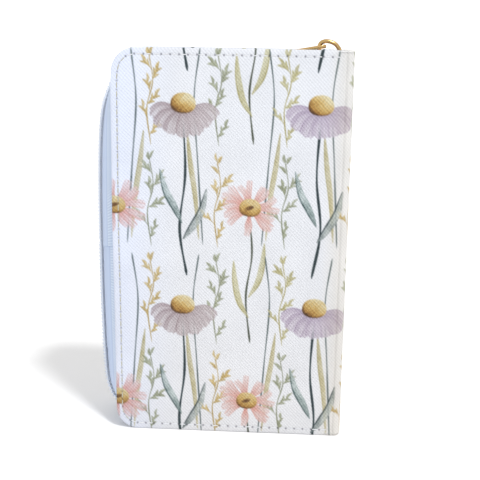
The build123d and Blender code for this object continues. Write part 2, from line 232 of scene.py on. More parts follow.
def petal_shape(points, width, body, shade, seed, foot=0.36, ruffle=0.10, clear=0.25, fold=0.35, deep=0.75):
    """A petal: streaks along it, one side turned from the light, a ruffled end."""
    g = np.random.default_rng(seed)
    n = 14
    line = smooth(points, n)
    u = np.linspace(0, 1, n)
    e = np.clip(u / 0.75, 0, 1)
    wid = width * (foot + (1 - foot) * e * e * (3 - 2 * e))
    win = window(line.min(0) - width - 0.6, line.max(0) + width + 0.6)
    if win is None:
        return
    sl, xs, ys = win
    s, par, off = near(xs, ys, line, wid)
    d = line[-1] - line[-3]
    d = d / np.linalg.norm(d)
    q = (xs - line[-1][0]) * d[0] + (ys - line[-1][1]) * d[1]
    end = width * (0.42 - 0.55 * off * off + ruffle * (np.sin(6.5 * off + g.uniform(0, 6)) + 0.8 * np.sin(13 * off + g.uniform(0, 6))))
    cov = np.clip(np.minimum(s, end - q) * PX * 0.9 + 0.5, 0, 1)
    st = np.zeros_like(s)
    for f, a in ((5.0, 0.5), (9.5, 0.6), (15.0, 0.6), (23.0, 0.45)):
        st = st + a * np.sin(f * off + g.uniform(0, 6) + 1.2 * par)
    st = np.clip(0.5 + 0.42 * st, 0, 1)
    way = par + np.clip(q, 0, 3) * 0.05
    mixv = 0.50 * st * (0.55 + 0.45 * np.clip(way, 0, 1)) + deep * (1 - par) ** 2.4
    mixv = mixv + fold * np.clip(off, 0, 1) ** 1.5 + 0.42 * np.exp(-(((np.abs(off) - 0.96) / 0.09) ** 2))
    mixv = np.clip(mixv + 0.25 * (NOISE[sl] - 0.5), 0, 1)[..., None]
    body, shade = np.asarray(body, np.float32), np.asarray(shade, np.float32)
    col = body * (1 - mixv) + shade * mixv
    fade = 1 - clear * np.clip((way - 0.55) / 0.45, 0, 1) * (1 - st)
    lay(sl, cov * 0.95 * fade, col.astype(np.float32), False)


def c8(r, g, b):
    return np.array([r, g, b], np.float32) / 255.0


GOLD, OLIVE, KHAKI = c8(222, 196, 132), c8(166, 160, 104), c8(208, 202, 156)
SAGE, TEAL, DEEP = c8(178, 182, 150), c8(84, 112, 110), c8(52, 70, 70)
GREY, TAN, BARK = c8(138, 146, 130), c8(214, 205, 176), c8(92, 78, 60)


def dome(c, rx, ry, tilt, lit=(0.55, -0.75)):
    """Seeded cone: pale light on one shoulder, brown at the lower rim, stippled all over."""
    win = window((c[0] - rx * 1.4, c[1] - rx * 1.4), (c[0] + rx * 1.4, c[1] + rx * 1.4))
    if win is None:
        return
    sl, xs, ys = win
    ct, st = math.cos(tilt), math.sin(tilt)
    a = ((xs - c[0]) * ct + (ys - c[1]) * st) / rx
    b = (-(xs - c[0]) * st + (ys - c[1]) * ct) / ry
    b2 = np.where(b > 0, b / 0.80, b)
    r = np.sqrt(np.abs(a) ** 2.2 + np.abs(b2) ** 2.2) ** (1 / 1.1)
    cov = np.clip((1 - r) * rx * PX * 0.8 + 0.5, 0, 1)
    la = lit[0] * ct + lit[1] * st
    lb = -lit[0] * st + lit[1] * ct
    light = 0.60 + 0.56 * (a * la + b * lb) - 0.10 * r**3
    # seeds in bent rows, lighter tips and dark gaps
    q = np.sin(a * 15.0 + 1.6 * np.sin(b * 4)) * np.sin(b * 15.0 + 2.4 * a * a)
    light = light + 0.10 * q + 0.34 * (NOISE[sl] - 0.5)
    light = np.clip(light, 0, 1)[..., None]
    dark, low, mid, pale = c8(94, 58, 24), c8(186, 136, 62), c8(228, 190, 112), c8(250, 236, 190)
    col = np.where(light < 0.3, dark + (low - dark) * light / 0.3,
                   np.where(light < 0.6, low + (mid - low) * (light - 0.3) / 0.3, mid + (pale - mid) * (light - 0.6) / 0.4))
    lay(sl, cov * 0.98, col.astype(np.float32), False)
    under = np.clip((r - 0.80) / 0.18, 0, 1) * cov * np.clip(0.15 - (a * la + b * lb), 0, 1)
    lay(sl, under * 0.85, c8(70, 42, 22), False)


def coneflower(c, rx, ry, tilt, fan, petal, shade, seed, length=12.0, width=2.7, lean=0.0):
    """Cone with a skirt of hanging petals; fan angles are from straight down."""
    g = np.random.default_rng(seed)
    c = np.asarray(c, float)
    for k, ang in enumerate(fan):
        d = math.radians(ang) + lean
        start = c + [rx * 0.72 * math.sin(d) + 0.4 * math.sin(lean), ry * 0.50 * math.cos(d) + 0.7]
        ln = length * (0.90 + 0.16 * g.random()) * (1 - 0.14 * abs(ang) / 90)
        tip = start + [ln * math.sin(d), ln * math.cos(d) * 0.86 + 0.9 * abs(math.sin(d))]
        mid = (start + tip) / 2 + [0.9 * math.sin(d), -1.1 * abs(math.sin(d))]
        petal_shape([start, mid, tip], width * (0.82 + 0.30 * g.random()), petal * (0.975 + 0.04 * g.random()), shade,
                    seed * 31 + k, fold=0.42 if k % 2 else 0.25)
    dome(c, rx, ry, tilt)


def daisy(c, r, petal, tips, seed, squash=0.95, length=6.6, n=16):
    g = np.random.default_rng(seed)
    c = np.asarray(c, float)
    ang = np.linspace(0, 2 * np.pi, n, endpoint=False) + 0.13 * g.standard_normal(n)
    for k in g.permutation(n):
        a = ang[k]
        d = np.array([math.cos(a), math.sin(a) * squash])
        ln = length * (0.80 + 0.32 * g.random())
        s = c + d * r * 0.75
        e = c + d * (r + ln)
        sd = np.array([-d[1], d[0]]) * g.uniform(-0.9, 0.9)
        petal_shape([s, (s + e) / 2 + sd, e], 1.0 + 0.75 * g.random(), petal, tips, seed * 17 + int(k), foot=0.5,
                    ruffle=0.20, clear=0.95, fold=0.15, deep=0.8)
        for o in (-0.35, 0.4):          # paler cuts between the brush marks
            w = s + (e - s) * g.uniform(0.25, 0.4) + sd * 0.6
            stroke([w + sd * 0.2 + [o * -d[1], o * d[0]], e + [o * -d[1], o * d[0]] - d * 0.3], 0.06, 0.16, c8(252, 246, 244), wash=False, strength=0.55)
    dome(c, r, r * 0.92, 0.05, (0.25, -0.6))
    # the sunken middle
    win = window((c[0] - 2.2, c[1] - 1.8), (c[0] + 2.2, c[1] + 1.8))
    if win is not None:
        sl, xs, ys = win
        q = np.hypot((xs - c[0] + 0.15) / 1.75, (ys - c[1] + 0.3 + 0.25 * (xs - c[0])) / 0.85)
        lay(sl, np.clip((1.1 - q) * 2.2, 0, 1) * (0.6 + 0.7 * NOISE[sl]).clip(0, 1) * 0.9, c8(100, 62, 30), False)


def sprig(points, col, n, ln, wd, seed, spread=38, stem=0.16, twig=0.0, leaf_edge=None, lift=1.0):
    """A stem with alternate slender seeds or leaves, some on side twigs."""
    g = np.random.default_rng(seed)
    line = smooth(points, 60)
    edge = col * 0.70 if leaf_edge is None else leaf_edge
    stroke(points, stem * 0.8, stem * 1.2, edge, wash=False, strength=0.9)
    turn = lambda d, a: np.array([d[0] * math.cos(a) - d[1] * math.sin(a), d[0] * math.sin(a) + d[1] * math.cos(a)])

    def seed_at(s, e, size, side):
        t = s + e * size
        bend = np.array([-e[1], e[0]]) * side * -0.12 * size * lift
        tone = np.minimum(col * (0.97 + 0.13 * g.random()), 1.0)
        blade([s, (s + t) / 2 + bend, t], wd * (0.8 + 0.4 * g.random()), tone, edge, n=9, tip=0.8, strength=0.97, wash=False,
              vein=0.3, base=0.25, lee=side)

    for k in range(n):
        u = 0.02 + 0.90 * (k + 0.35 * g.random()) / max(n - 1, 1)
        i = min(int(u * 59), 59)
        p, q = line[i], line[max(i - 3, 0)]
        d = (q - p) if i > 2 else (line[0] - line[4])
        d = d / (np.linalg.norm(d) + 1e-9)
        side = (-1) ** k
        a = math.radians(spread + 8 * g.standard_normal()) * side
        e = turn(d, a)
        size = ln * (0.72 + 0.4 * math.sin(math.pi * min(u * 0.85 + 0.12, 1))) * (0.85 + 0.3 * g.random())
        if twig and u > 0.2:
            reach = twig * (0.75 + 0.5 * u)
            m = p + e * reach
            bow = turn(e, -0.5 * math.pi * side) * 0.25
            stroke([p, (p + m) / 2 + bow, m], stem * 0.75, stem * 0.6, edge, wash=False, strength=0.85)
            seed_at(m, turn(e, -0.2 * side), size, side)
            for f, b_, z_ in ((0.70, 0.50, 0.92), (0.44, -0.52, 0.90), (0.18, 0.55, 0.78)):
                if f < 0.3 and k % 2:
                    continue
                seed_at(p + (m - p) * f + bow * 0.8, turn(e, b_ * side), size * z_, side if b_ > 0 else -side)
        else:
            ped = p + e * 0.9
            stroke([p, (p + ped) / 2, ped], stem * 0.7, stem * 0.7, edge, wash=False, strength=0.85)
            seed_at(ped, e, size, side)
    seed_at(line[1], (line[0] - line[4]) / (np.linalg.norm(line[0] - line[4]) + 1e-9), ln * 0.9, 1)


def cell(dx, dt):
    """One repeat of a plain half-drop meadow: 100 mm wide, 76 mm tall, four upright plants 25 mm apart."""
    P = lambda pts: [(a + dx, b + dt) for a, b in pts]
    line = lambda pts, w0, w1, col, **k: stroke(P(pts), w0, w1, col, wash=False, strength=0.96, **k)
    leaf = lambda pts, w, body, edge, **k: blade(P(pts), w, body, edge, wash=False, strength=0.95, **k)
    sage_edge, gold_edge, straw_edge = c8(128, 134, 100), c8(186, 152, 78), c8(176, 162, 92)
    # -- thin stalks and grass blades, evenly spaced
    for x, f in ((7.0, 1), (32.0, -1), (57.0, 1), (82.0, -1)):
        line([(x, 0), (x + 2.0 * f, 18), (x + 0.5 * f, 42), (x - 1.5 * f, 72)], 0.20, 0.24, c8(84, 100, 98))
        leaf([(x + 4.5 * f, 30), (x + 3.2 * f, 42), (x + 1.4 * f, 54), (x, 70)], 0.95, c8(222, 212, 168), c8(180, 168, 110))
    # -- sprays in the gaps, gold and sage by turns
    sprays = ((13.5, 2, GOLD, gold_edge), (38.5, 40, GOLD, gold_edge), (63.5, 2, KHAKI, straw_edge), (88.5, 40, GOLD, gold_edge),
              (13.5, 40, SAGE, sage_edge), (38.5, 2, SAGE, sage_edge), (63.5, 40, SAGE, sage_edge), (88.5, 2, SAGE, sage_edge))
    for k, (x, t, col, edge) in enumerate(sprays):
        sprig(P([(x, t), (x + 1.4, t + 10), (x - 0.8, t + 20), (x + 0.6, t + 33)]), col, 7, 3.3, 0.50, 40 + k, spread=34, twig=4.2, leaf_edge=edge)
    # -- coneflowers, upright, each over a pair of leaves
    for x, t, light, dark, seed, f in ((26.0, 20.0, c8(232, 222, 220), c8(178, 158, 160), 21, 1), (76.0, 20.0, c8(238, 228, 236), c8(186, 168, 190), 22, -1)):
        line([(x + 1.5 * f, t + 64), (x - 1.2 * f, t + 46), (x + 0.8 * f, t + 26), (x, t + 5)], 0.46, 0.34, c8(22, 42, 46), mid=0.38)
        leaf([(x - 0.4, t + 44), (x - 3.2, t + 38), (x - 6.4, t + 32), (x - 8.6, t + 24)], 1.35, c8(208, 222, 216), c8(44, 70, 68), lee=-1)
        leaf([(x + 0.2, t + 50), (x + 3.8, t + 45), (x + 7.0, t + 39), (x + 8.8, t + 31)], 1.45, c8(216, 224, 218), c8(34, 50, 52), lee=-1)
        coneflower((x + dx, t + dt), 4.6, 4.1, 0.0, (72, -72, 48, -48, 24, -24, 0), light, dark, seed, length=9.4, width=2.9)
    # -- daisies, half a repeat lower
    for x, seed in ((51.0, 23), (101.0, 24)):
        t = 58.0
        line([(x + 0.8, t + 52), (x - 1.0, t + 34), (x + 1.0, t + 18), (x, t + 4)], 0.30, 0.26, c8(62, 70, 52))
        leaf([(x, t + 42), (x - 3.4, t + 36), (x - 5.2, t + 28), (x - 5.8, t + 20)], 1.15, c8(228, 222, 178), c8(176, 164, 96), lee=-1)
        leaf([(x, t + 34), (x + 3.4, t + 28), (x + 5.0, t + 21), (x + 5.6, t + 13)], 1.15, c8(226, 220, 176), c8(172, 160, 92))
        daisy((x + dx, t + dt), 4.0, c8(252, 232, 226), c8(238, 166, 150), seed)


for col in range(3):
    for row in range(-1, 3):
        cell(col * 100.0, row * 76.0)
for t in (58.0, 134.0):           # the same column of daisies, cut by the fore edge
    daisy((1.0, t), 4.0, c8(252, 232, 226), c8(238, 166, 150), 31)
for k in (0, 1):                  # the cloth takes the ink a little softly
    art = 0.25 * np.roll(art, 1, k) + 0.5 * art + 0.25 * np.roll(art, -1, k)
# base tone: bluish white at the head, greyer and more neutral at the tail, cream on the spine; painted bluish shade
# near the fore edge
tt = ((np.arange(NY) + 0.5) / PX + T0)[:, None, None] / H
sx = ((np.arange(NX) + 0.5) / PX + S0)[None, :, None]
sx = np.minimum(sx, 2 * S_SPINE + 2 * Y - sx)
base_white = c8(228, 231, 237) * (1 - tt.clip(0, 1) ** 1.5) + c8(221, 221, 223) * tt.clip(0, 1) ** 1.5
# painted shade: a bluish tint fading in from the fore edge, where the cover curves away from the light
painted_blue_shade = np.clip((26 - sx) / 22, 0, 1) ** 1.3
warm = np.clip((sx - 78) / 7, 0, 1)
base_white = base_white * (1 - painted_blue_shade) + base_white * np.array([0.985, 1.004, 1.05], np.float32) * painted_blue_shade
base_white = base_white * (1 - warm) + base_white * np.array([1.0, 0.982, 0.945], np.float32) * warm
art *= (base_white * (0.99 + 0.03 * (value_noise((NY, NX), 60, 9)[..., None] - 0.5))).astype(np.float32)


def sample(img, s, t):
    x = np.clip((s - S0) * PX - 0.5, 0, NX - 1.001)
    y = np.clip((t - T0) * PX - 0.5, 0, NY - 1.001)
    ix, iy = x.astype(int), y.astype(int)
    fx, fy = x - ix, y - iy
    if img.ndim == 3:
        fx, fy = fx[:, None], fy[:, None]
    return (img[iy, ix] * (1 - fx) + img[iy, ix + 1] * fx) * (1 - fy) + (img[iy + 1, ix] * (1 - fx) + img[iy + 1, ix + 1] * fx) * fy


def linear(c):
    return np.where(c <= 0.04045, c / 12.92, ((np.maximum(c, 0.0) + 0.055) / 1.055) ** 2.4)


# ================================================================ mesh helpers
def mesh(name, verts, quads, mat=None, smooth_faces=True, attrs=None, caps=(), flip=False):
    name = name.replace(" ", "_")
    v = np.asarray(verts, np.float64) * MM
    quads = np.asarray(quads, np.int32).reshape(-1, 4)
    if flip:
        quads = quads[:, ::-1]
    loops = [quads.ravel()]
    starts = [np.arange(len(quads)) * 4]
    n = quads.size
    for c in caps:
        c = np.asarray(c, np.int32)
        loops.append(c)
        starts.append(np.array([n]))
        n += len(c)
    loops, starts = np.concatenate(loops), np.concatenate(starts)
    me = bpy.data.meshes.new(name)
    me.vertices.add(len(v))
    me.vertices.foreach_set("co", v.astype(np.float32).ravel())
    me.loops.add(len(loops))
    me.loops.foreach_set("vertex_index", loops.astype(np.int32))
    me.polygons.add(len(starts))
    me.polygons.foreach_set("loop_start", starts.astype(np.int32))
    me.update(calc_edges=True)
    me.validate()
    me.polygons.foreach_set("use_smooth", np.full(len(me.polygons), smooth_faces))
    for key, val in (attrs or {}).items():
        val = np.asarray(val, np.float32)
        if val.ndim == 1:
            a = me.attributes.new(key, "FLOAT", "POINT")
            a.data.foreach_set("value", val)
        elif val.shape[1] == 4:
            a = me.attributes.new(key, "FLOAT_COLOR", "POINT")
            a.data.foreach_set("color", val.ravel())
        else:
            a = me.attributes.new(key, "FLOAT_VECTOR", "POINT")
            a.data.foreach_set("vector", val.ravel())
    ob = bpy.data.objects.new(name, me)
    bpy.context.scene.collection.objects.link(ob)
    if mat is not None:
        me.materials.append(mat)
    return ob


def grid_quads(n, m, base=0, close_n=False, close_m=False):
    i = np.arange(n if close_n else n - 1)
    j = np.arange(m if close_m else m - 1)
    I, J = np.meshgrid(i, j, indexing="ij")
    I2, J2 = (I + 1) % n, (J + 1) % m
    q = np.stack([I * m + J, I2 * m + J, I2 * m + J2, I * m + J2], -1).reshape(-1, 4)
    return q + base


def arc3(a, m, b, n):
    """Points on the circle through a, m, b."""
    a, m, b = (np.asarray(p, float) for p in (a, m, b))
    d = 2 * (a[0] * (m[1] - b[1]) + m[0] * (b[1] - a[1]) + b[0] * (a[1] - m[1]))
    ux = ((a @ a) * (m[1] - b[1]) + (m @ m) * (b[1] - a[1]) + (b @ b) * (a[1] - m[1])) / d
    uy = ((a @ a) * (b[0] - m[0]) + (m @ m) * (a[0] - b[0]) + (b @ b) * (m[0] - a[0])) / d
    c = np.array([ux, uy])
    r = np.linalg.norm(a - c)
    t = [math.atan2(*(p - c)[::-1]) for p in (a, m, b)]
    t1, t2 = t[1] - t[0], t[2] - t[0]
    t1, t2 = (t1 + math.pi) % (2 * math.pi) - math.pi, (t2 + math.pi) % (2 * math.pi) - math.pi
    if t1 * t2 < 0 or abs(t2) < abs(t1):
        t2 -= math.copysign(2 * math.pi, t2)
    th = t[0] + np.linspace(0, 1, n) * t2
    return c + r * np.stack([np.cos(th), np.sin(th)], 1)


def seam_rail(inset, x_end, n):
    """(n0,n1,n2,n3,n4) samples along top, corner, fore edge, corner, bottom."""
    r = RC - inset
    x0, z0, z1 = XF + inset, inset, H - inset
    k = r * (1 - math.cos(math.pi / 4))
    w = lambda a, b, c: np.asarray(a) * (1 - np.linspace(0, 1, c)[:, None]) + np.asarray(b) * np.linspace(0, 1, c)[:, None]
    parts = [
        w((x_end, z1), (x0 + r, z1), n[0]),
        arc3((x0 + r, z1), (x0 + k, z1 - k), (x0, z1 - r), n[1])[1:],
        w((x0, z1 - r), (x0, z0 + r), n[2])[1:],
        arc3((x0, z0 + r), (x0 + k, z0 + k), (x0 + r, z0), n[3])[1:],
        w((x0 + r, z0), (x_end, z0), n[4])[1:],
    ]
    return np.vstack(parts)


ZT, ZB = 144.2, 2.9


ZIP_LINE = [(-20, ZT), (-28.0, ZT), (-33.8, 143.3), (-38.6, 140.2), (-42.0, 135.6), (-44.4, 130.4), (-46.1, 125.2), (-47.1, 118.5),
            (-47.7, 109), (-48.05, 95), (-48.13, 76), (-47.9, 50), (-47.2, 28), (-46.4, 16.7), (-45.1, 11.2), (-42.6, 6.6), (-38.0, 3.7), (-31, ZB), (-22, ZB)]


def zip_outline():
    """Outer line of the closed zip: smooth through the points, with its outward normals."""
    q = smooth(ZIP_LINE, 1800)
    d = np.r_[0, np.cumsum(np.linalg.norm(np.diff(q, axis=0), axis=1))]
    u = np.arange(0, d[-1], 0.1)
    q = np.stack([np.interp(u, d, q[:, k]) for k in (0, 1)], 1)
    ker = np.hanning(41)
    ker /= ker.sum()
    q2 = np.stack([np.convolve(np.pad(q[:, k], 20, mode="edge"), ker, "valid") for k in (0, 1)], 1)
    t = np.gradient(q2, axis=0)
    t /= np.linalg.norm(t, axis=1)[:, None]
    q2 = q2[25:-25]
    return q2, np.stack([t[:, 1], -t[:, 0]], 1)[25:-25]


ZIP_Q, ZIP_N = zip_outline()
if ZIP_N[len(ZIP_N) // 2, 0] > 0:
    ZIP_N = -ZIP_N
ZIP_CUT = [0, int(np.argmin(np.abs(ZIP_Q[:, 1] - 124.0))), int(np.argmin(np.abs(ZIP_Q[:, 1] - 17.0))), len(ZIP_Q) - 1]


def coil_rail(d, x_end, n):
    w = lambda a, b, c: np.asarray(a) * (1 - np.linspace(0, 1, c)[:, None]) + np.asarray(b) * np.linspace(0, 1, c)[:, None]
    q = ZIP_Q - ZIP_N * d
    q[0, 1], q[-1, 1] = ZT - d, ZB + d
    part = lambda k, c: resample(q[ZIP_CUT[k] : ZIP_CUT[k + 1] + 1], n=c)[0]
    return np.vstack([w((x_end, ZT - d), q[0], n[0]), part(0, n[1])[1:], part(1, n[2])[1:], part(2, n[3])[1:],
                      w(q[-1], (x_end, ZB + d), n[4])[1:]])


def resample(line, step=None, n=None):
    d = np.r_[0, np.cumsum(np.linalg.norm(np.diff(line, axis=0), axis=1))]
    n = n or max(2, int(round(d[-1] / step)) + 1)
    s = np.linspace(0, d[-1], n)
    return np.stack([np.interp(s, d, line[:, k]) for k in range(line.shape[1])], 1), s


def normals2(line):
    """Outward normals (away from the book) of a rail that runs top, fore edge, bottom."""
    t = np.gradient(line, axis=0)
    t /= np.linalg.norm(t, axis=1)[:, None]
    return np.stack([t[:, 1], -t[:, 0]], 1) * -1.0 if (t[0, 0] > 0) else np.stack([t[:, 1], -t[:, 0]], 1)


# =================================================================== materials
def material(name, color=(0.8, 0.8, 0.8), rough=0.5, metallic=0.0, spec=0.5):
    m = bpy.data.materials.new(name)
    m.use_nodes = True
    nt = m.node_tree
    b = nt.nodes["Principled BSDF"]
    b.inputs["Base Color"].default_value = (*color, 1)
    b.inputs["Roughness"].default_value = rough
    b.inputs["Metallic"].default_value = metallic
    b.inputs["Specular IOR Level"].default_value = spec
    return m, nt, b


class Net:
    """Small helper for node trees."""

    def __init__(self, nt):
        self.nt = nt

    def node(self, kind, **kw):
        n = self.nt.nodes.new(kind)
        for k, v in kw.items():
            setattr(n, k, v)
        return n

    def put(self, socket, v):
        if isinstance(v, bpy.types.NodeSocket):
            self.nt.links.new(v, socket)
        elif v is not None:
            socket.default_value = v

    def math(self, op, a, b=None, c=None, clamp=False):
        n = self.node("ShaderNodeMath", operation=op, use_clamp=clamp)
        for i, v in enumerate((a, b, c)):
            self.put(n.inputs[i], v)
        return n.outputs[0]

    def attr(self, name):
        return self.node("ShaderNodeAttribute", attribute_name=name)

    def noise(self, scale, detail=3, vec=None, rough=0.55):
        n = self.node("ShaderNodeTexNoise")
        n.inputs["Scale"].default_value = scale
        n.inputs["Detail"].default_value = detail
        n.inputs["Roughness"].default_value = rough
        if vec is not None:
            self.nt.links.new(vec, n.inputs["Vector"])
        return n.outputs["Fac"]

    def coords(self):
        return self.node("ShaderNodeTexCoord").outputs["Object"]

    def xyz(self, v):
        n = self.node("ShaderNodeSeparateXYZ")
        self.nt.links.new(v, n.inputs[0])
        return n.outputs

    def ramp(self, f, stops):
        n = self.node("ShaderNodeValToRGB")
        self.nt.links.new(f, n.inputs[0])
        e = n.color_ramp.elements
        while len(e) < len(stops):
            e.new(0.5)
        for k, (p, c) in enumerate(stops):
            e[k].position = p
            e[k].color = (*c, 1)
        return n.outputs[0]

    def mix(self, f, a, b, blend="MIX"):
        n = self.node("ShaderNodeMix", data_type="RGBA", blend_type=blend)
        self.put(n.inputs[0], f)
        self.put(n.inputs[6], a if isinstance(a, bpy.types.NodeSocket) else (*a, 1))
        self.put(n.inputs[7], b if isinstance(b, bpy.types.NodeSocket) else (*b, 1))
        return n.outputs[2]

    def bump(self, h, strength, dist, chain=None):
        n = self.node("ShaderNodeBump")
        n.inputs["Strength"].default_value = strength
        n.inputs["Distance"].default_value = dist
        self.nt.links.new(h, n.inputs["Height"])
        if chain is not None:
            self.nt.links.new(chain, n.inputs["Normal"])
        return n.outputs[0]


def srgb(r, g, b):
    return tuple(float(x) for x in linear(np.array([r, g, b]) / 255.0))


# -- printed saffiano leathercloth
leather, nt, bs = material("printed_leathercloth", rough=0.5, spec=0.35)
N = Net(nt)
# print colour, which also carries the painted shade along the fore edge and in the needle holes
col = N.attr("print_and_painted_shade").outputs["Color"]
st = N.xyz(N.attr("unwrap").outputs["Vector"])
wob = N.noise(260.0, 2)
a1 = N.math("ADD", N.math("MULTIPLY", st[0], 4.85), N.math("MULTIPLY", st[1], -4.67))
a1 = N.math("ADD", a1, N.math("MULTIPLY", wob, 2.2))
a2 = N.math("ADD", N.math("MULTIPLY", st[0], 5.0), N.math("MULTIPLY", st[1], 3.3))
a2 = N.math("ADD", a2, N.math("MULTIPLY", wob, 3.0))
h1 = N.math("SINE", a1)
h2 = N.math("SINE", a2)
h = N.math("ADD", N.math("MULTIPLY", h1, 0.62), N.math("MULTIPLY", h2, 0.26))
h = N.math("ADD", h, N.math("MULTIPLY", N.noise(2400.0, 2), 0.35))
valley = N.math("MULTIPLY_ADD", h, -0.5, 0.5, clamp=True)
# painted shade: the hatch's valleys darkened with bluish grey, and with brown over the ink
tint = N.mix(N.math("MULTIPLY", valley, 0.22), col, srgb(158, 164, 180), "MULTIPLY")
ink_groove_shade = N.math("MULTIPLY", N.attr("ink").outputs["Fac"], N.math("MULTIPLY", valley, 0.22))
tint = N.mix(ink_groove_shade, tint, srgb(120, 104, 96), "MULTIPLY")
soft = N.noise(38.0, 3)
tint = N.mix(N.math("MULTIPLY", soft, 0.05), tint, srgb(214, 220, 236), "MULTIPLY")
nt.links.new(tint, bs.inputs["Base Color"])
nt.links.new(N.math("MULTIPLY_ADD", valley, 0.16, 0.40), bs.inputs["Roughness"])
nt.links.new(N.bump(h, 0.55, 0.00012), bs.inputs["Normal"])

# -- metal
gold, nt, bs = material("gilt_metal", (0.86, 0.58, 0.20), 0.22, 1.0)
N = Net(nt)
f = N.noise(900.0, 4)
nt.links.new(N.ramp(f, [(0.25, srgb(188, 146, 88)), (0.75, srgb(234, 202, 142))]), bs.inputs["Base Color"])
nt.links.new(N.math("MULTIPLY_ADD", N.noise(2600.0, 3), 0.16, 0.16), bs.inputs["Roughness"])
nt.links.new(N.bump(N.noise(1500.0, 2), 0.12, 0.00005), bs.inputs["Normal"])


def cloth(name, c0, c1, pitch, rough=0.85, bump=0.5, diag=False):
    """Plain weave from object coordinates, pitch in mm."""
    m, nt, b = material(name, c0, rough, spec=0.25)
    N = Net(nt)
    p = N.xyz(N.coords())
    k = 2 * math.pi / (pitch * MM)
    hx = N.math("SINE", N.math("MULTIPLY", p[0], k))
    hz = N.math("SINE", N.math("MULTIPLY", p[2], k))
    hy = N.math("SINE", N.math("MULTIPLY", p[1], k))
    if diag:
        hx = N.math("SINE", N.math("MULTIPLY", N.math("ADD", p[0], p[2]), k))
    w = N.math("MULTIPLY", hx, hz)
    w = N.math("ADD", w, N.math("MULTIPLY", hy, 0.4))
    f = N.math("MULTIPLY_ADD", w, 0.35, 0.5, clamp=True)
    f = N.math("ADD", N.math("MULTIPLY", f, 0.7), N.math("MULTIPLY", N.noise(220.0, 4), 0.3))
    nt.links.new(N.ramp(f, [(0.2, c1), (0.8, c0)]), b.inputs["Base Color"])
    nt.links.new(N.bump(w, bump, 0.00008), b.inputs["Normal"])
    b.inputs["Sheen Weight"].default_value = 0.25
    return m


lining = cloth("lining_cloth", srgb(196, 206, 230), srgb(158, 170, 204), 0.55)
mull = cloth("mull_cloth", srgb(226, 220, 202), srgb(176, 168, 146), 1.1, 0.9, 0.9)
ribbon = cloth("ribbon_silk", srgb(136, 148, 190), srgb(104, 116, 164), 0.3, 0.38, 0.25, True)


def paper(name, c0, c1, grain=900.0, lines=False):
    m, nt, b = material(name, c0, 0.82, spec=0.2)
    N = Net(nt)
    f = N.math("ADD", N.math("MULTIPLY", N.noise(grain, 4), 0.6), N.math("MULTIPLY", N.noise(60.0, 3), 0.4))
    if lines:           # leaf edges
        y = N.xyz(N.coords())[1]
        s = N.math("SINE", N.math("MULTIPLY", y, 2 * math.pi / (0.18 * MM)))
        n2 = N.node("ShaderNodeTexNoise")
        n2.inputs["Scale"].default_value = 1.0
        mp = N.node("ShaderNodeMapping")
        mp.inputs["Scale"].default_value = (30.0, 9000.0, 30.0)
        nt.links.new(N.coords(), mp.inputs["Vector"])
        nt.links.new(mp.outputs[0], n2.inputs["Vector"])
        f = N.math("ADD", N.math("MULTIPLY", f, 0.35), N.math("MULTIPLY", n2.outputs["Fac"], 0.65))
        nt.links.new(N.bump(N.math("ADD", n2.outputs["Fac"], N.math("MULTIPLY", s, 0.2)), 0.35, 0.0001), b.inputs["Normal"])
    else:
        nt.links.new(N.bump(f, 0.2, 0.00005), b.inputs["Normal"])
    nt.links.new(N.ramp(f, [(0.3, c1), (0.7, c0)]), b.inputs["Base Color"])
    return m


pages = paper("page_paper", srgb(246, 240, 224), srgb(226, 216, 192), 900, True)
endpaper = paper("endpaper", srgb(244, 240, 230), srgb(232, 226, 212))
board = paper("cover_board", srgb(172, 162, 146), srgb(134, 124, 108), 1600)

# -- sewing thread: twist stripes from a baked coordinate, with painted shade on the stitches along the fore edge
thread, nt, bs = material("seam_thread", srgb(238, 238, 244), 0.55, spec=0.35)
N = Net(nt)
tv = N.xyz(N.attr("along").outputs["Vector"])
tw = N.math("SINE", N.math("ADD", N.math("MULTIPLY", tv[0], 13.0), N.math("MULTIPLY", tv[1], 6.2832)))
pale = N.ramp(N.math("MULTIPLY_ADD", tw, 0.5, 0.5), [(0.0, srgb(196, 200, 208)), (0.7, srgb(236, 237, 240))])
# painted shade: a darker khaki copy of the thread for the fore edge
painted_shade_thread = N.ramp(N.math("MULTIPLY_ADD", tw, 0.5, 0.5), [(0.0, srgb(150, 148, 132)), (0.7, srgb(204, 202, 190))])
nt.links.new(N.mix(tv[2], pale, painted_shade_thread), bs.inputs["Base Color"])
nt.links.new(N.bump(tw, 0.5, 0.00006), bs.inputs["Normal"])


# -- zip tape: colour bands and cross ribs from a baked coordinate (along mm, across 0..1), with painted shade under the cover's edge, in the coil's groove and in the ribs' dips
tape_mat, nt, bs = material("zip_tape", srgb(186, 202, 226), 0.72, spec=0.3)
N = Net(nt)
tv = N.xyz(N.attr("along").outputs["Vector"])
# painted shade: dark at the tape's edge under the cover (0.0-0.05) and a darker line in the coil's groove (0.66)
band = N.ramp(tv[1], [(0.0, srgb(112, 130, 170)), (0.05, srgb(138, 158, 194)), (0.11, srgb(204, 216, 232)),
                      (0.34, srgb(196, 212, 234)), (0.60, srgb(214, 226, 242)), (0.66, srgb(192, 208, 234)), (0.72, srgb(208, 222, 244)),
                      (0.88, srgb(206, 220, 242)), (0.97, srgb(212, 224, 244))])
rib = N.math("SINE", N.math("MULTIPLY", tv[0], 2 * math.pi / 1.0))
ribmask = N.math("LESS_THAN", tv[1], 0.62)
fine = N.math("SINE", N.math("MULTIPLY", tv[0], 2 * math.pi / 0.34))
hh = N.math("ADD", N.math("MULTIPLY", N.math("MULTIPLY", rib, ribmask), 0.8), N.math("MULTIPLY", fine, 0.2))
shade = N.math("MULTIPLY", N.math("MULTIPLY_ADD", hh, -0.5, 0.5, clamp=True), 0.42)
bandc = N.mix(shade, band, srgb(150, 166, 198), "MULTIPLY")
nt.links.new(bandc, bs.inputs["Base Color"])
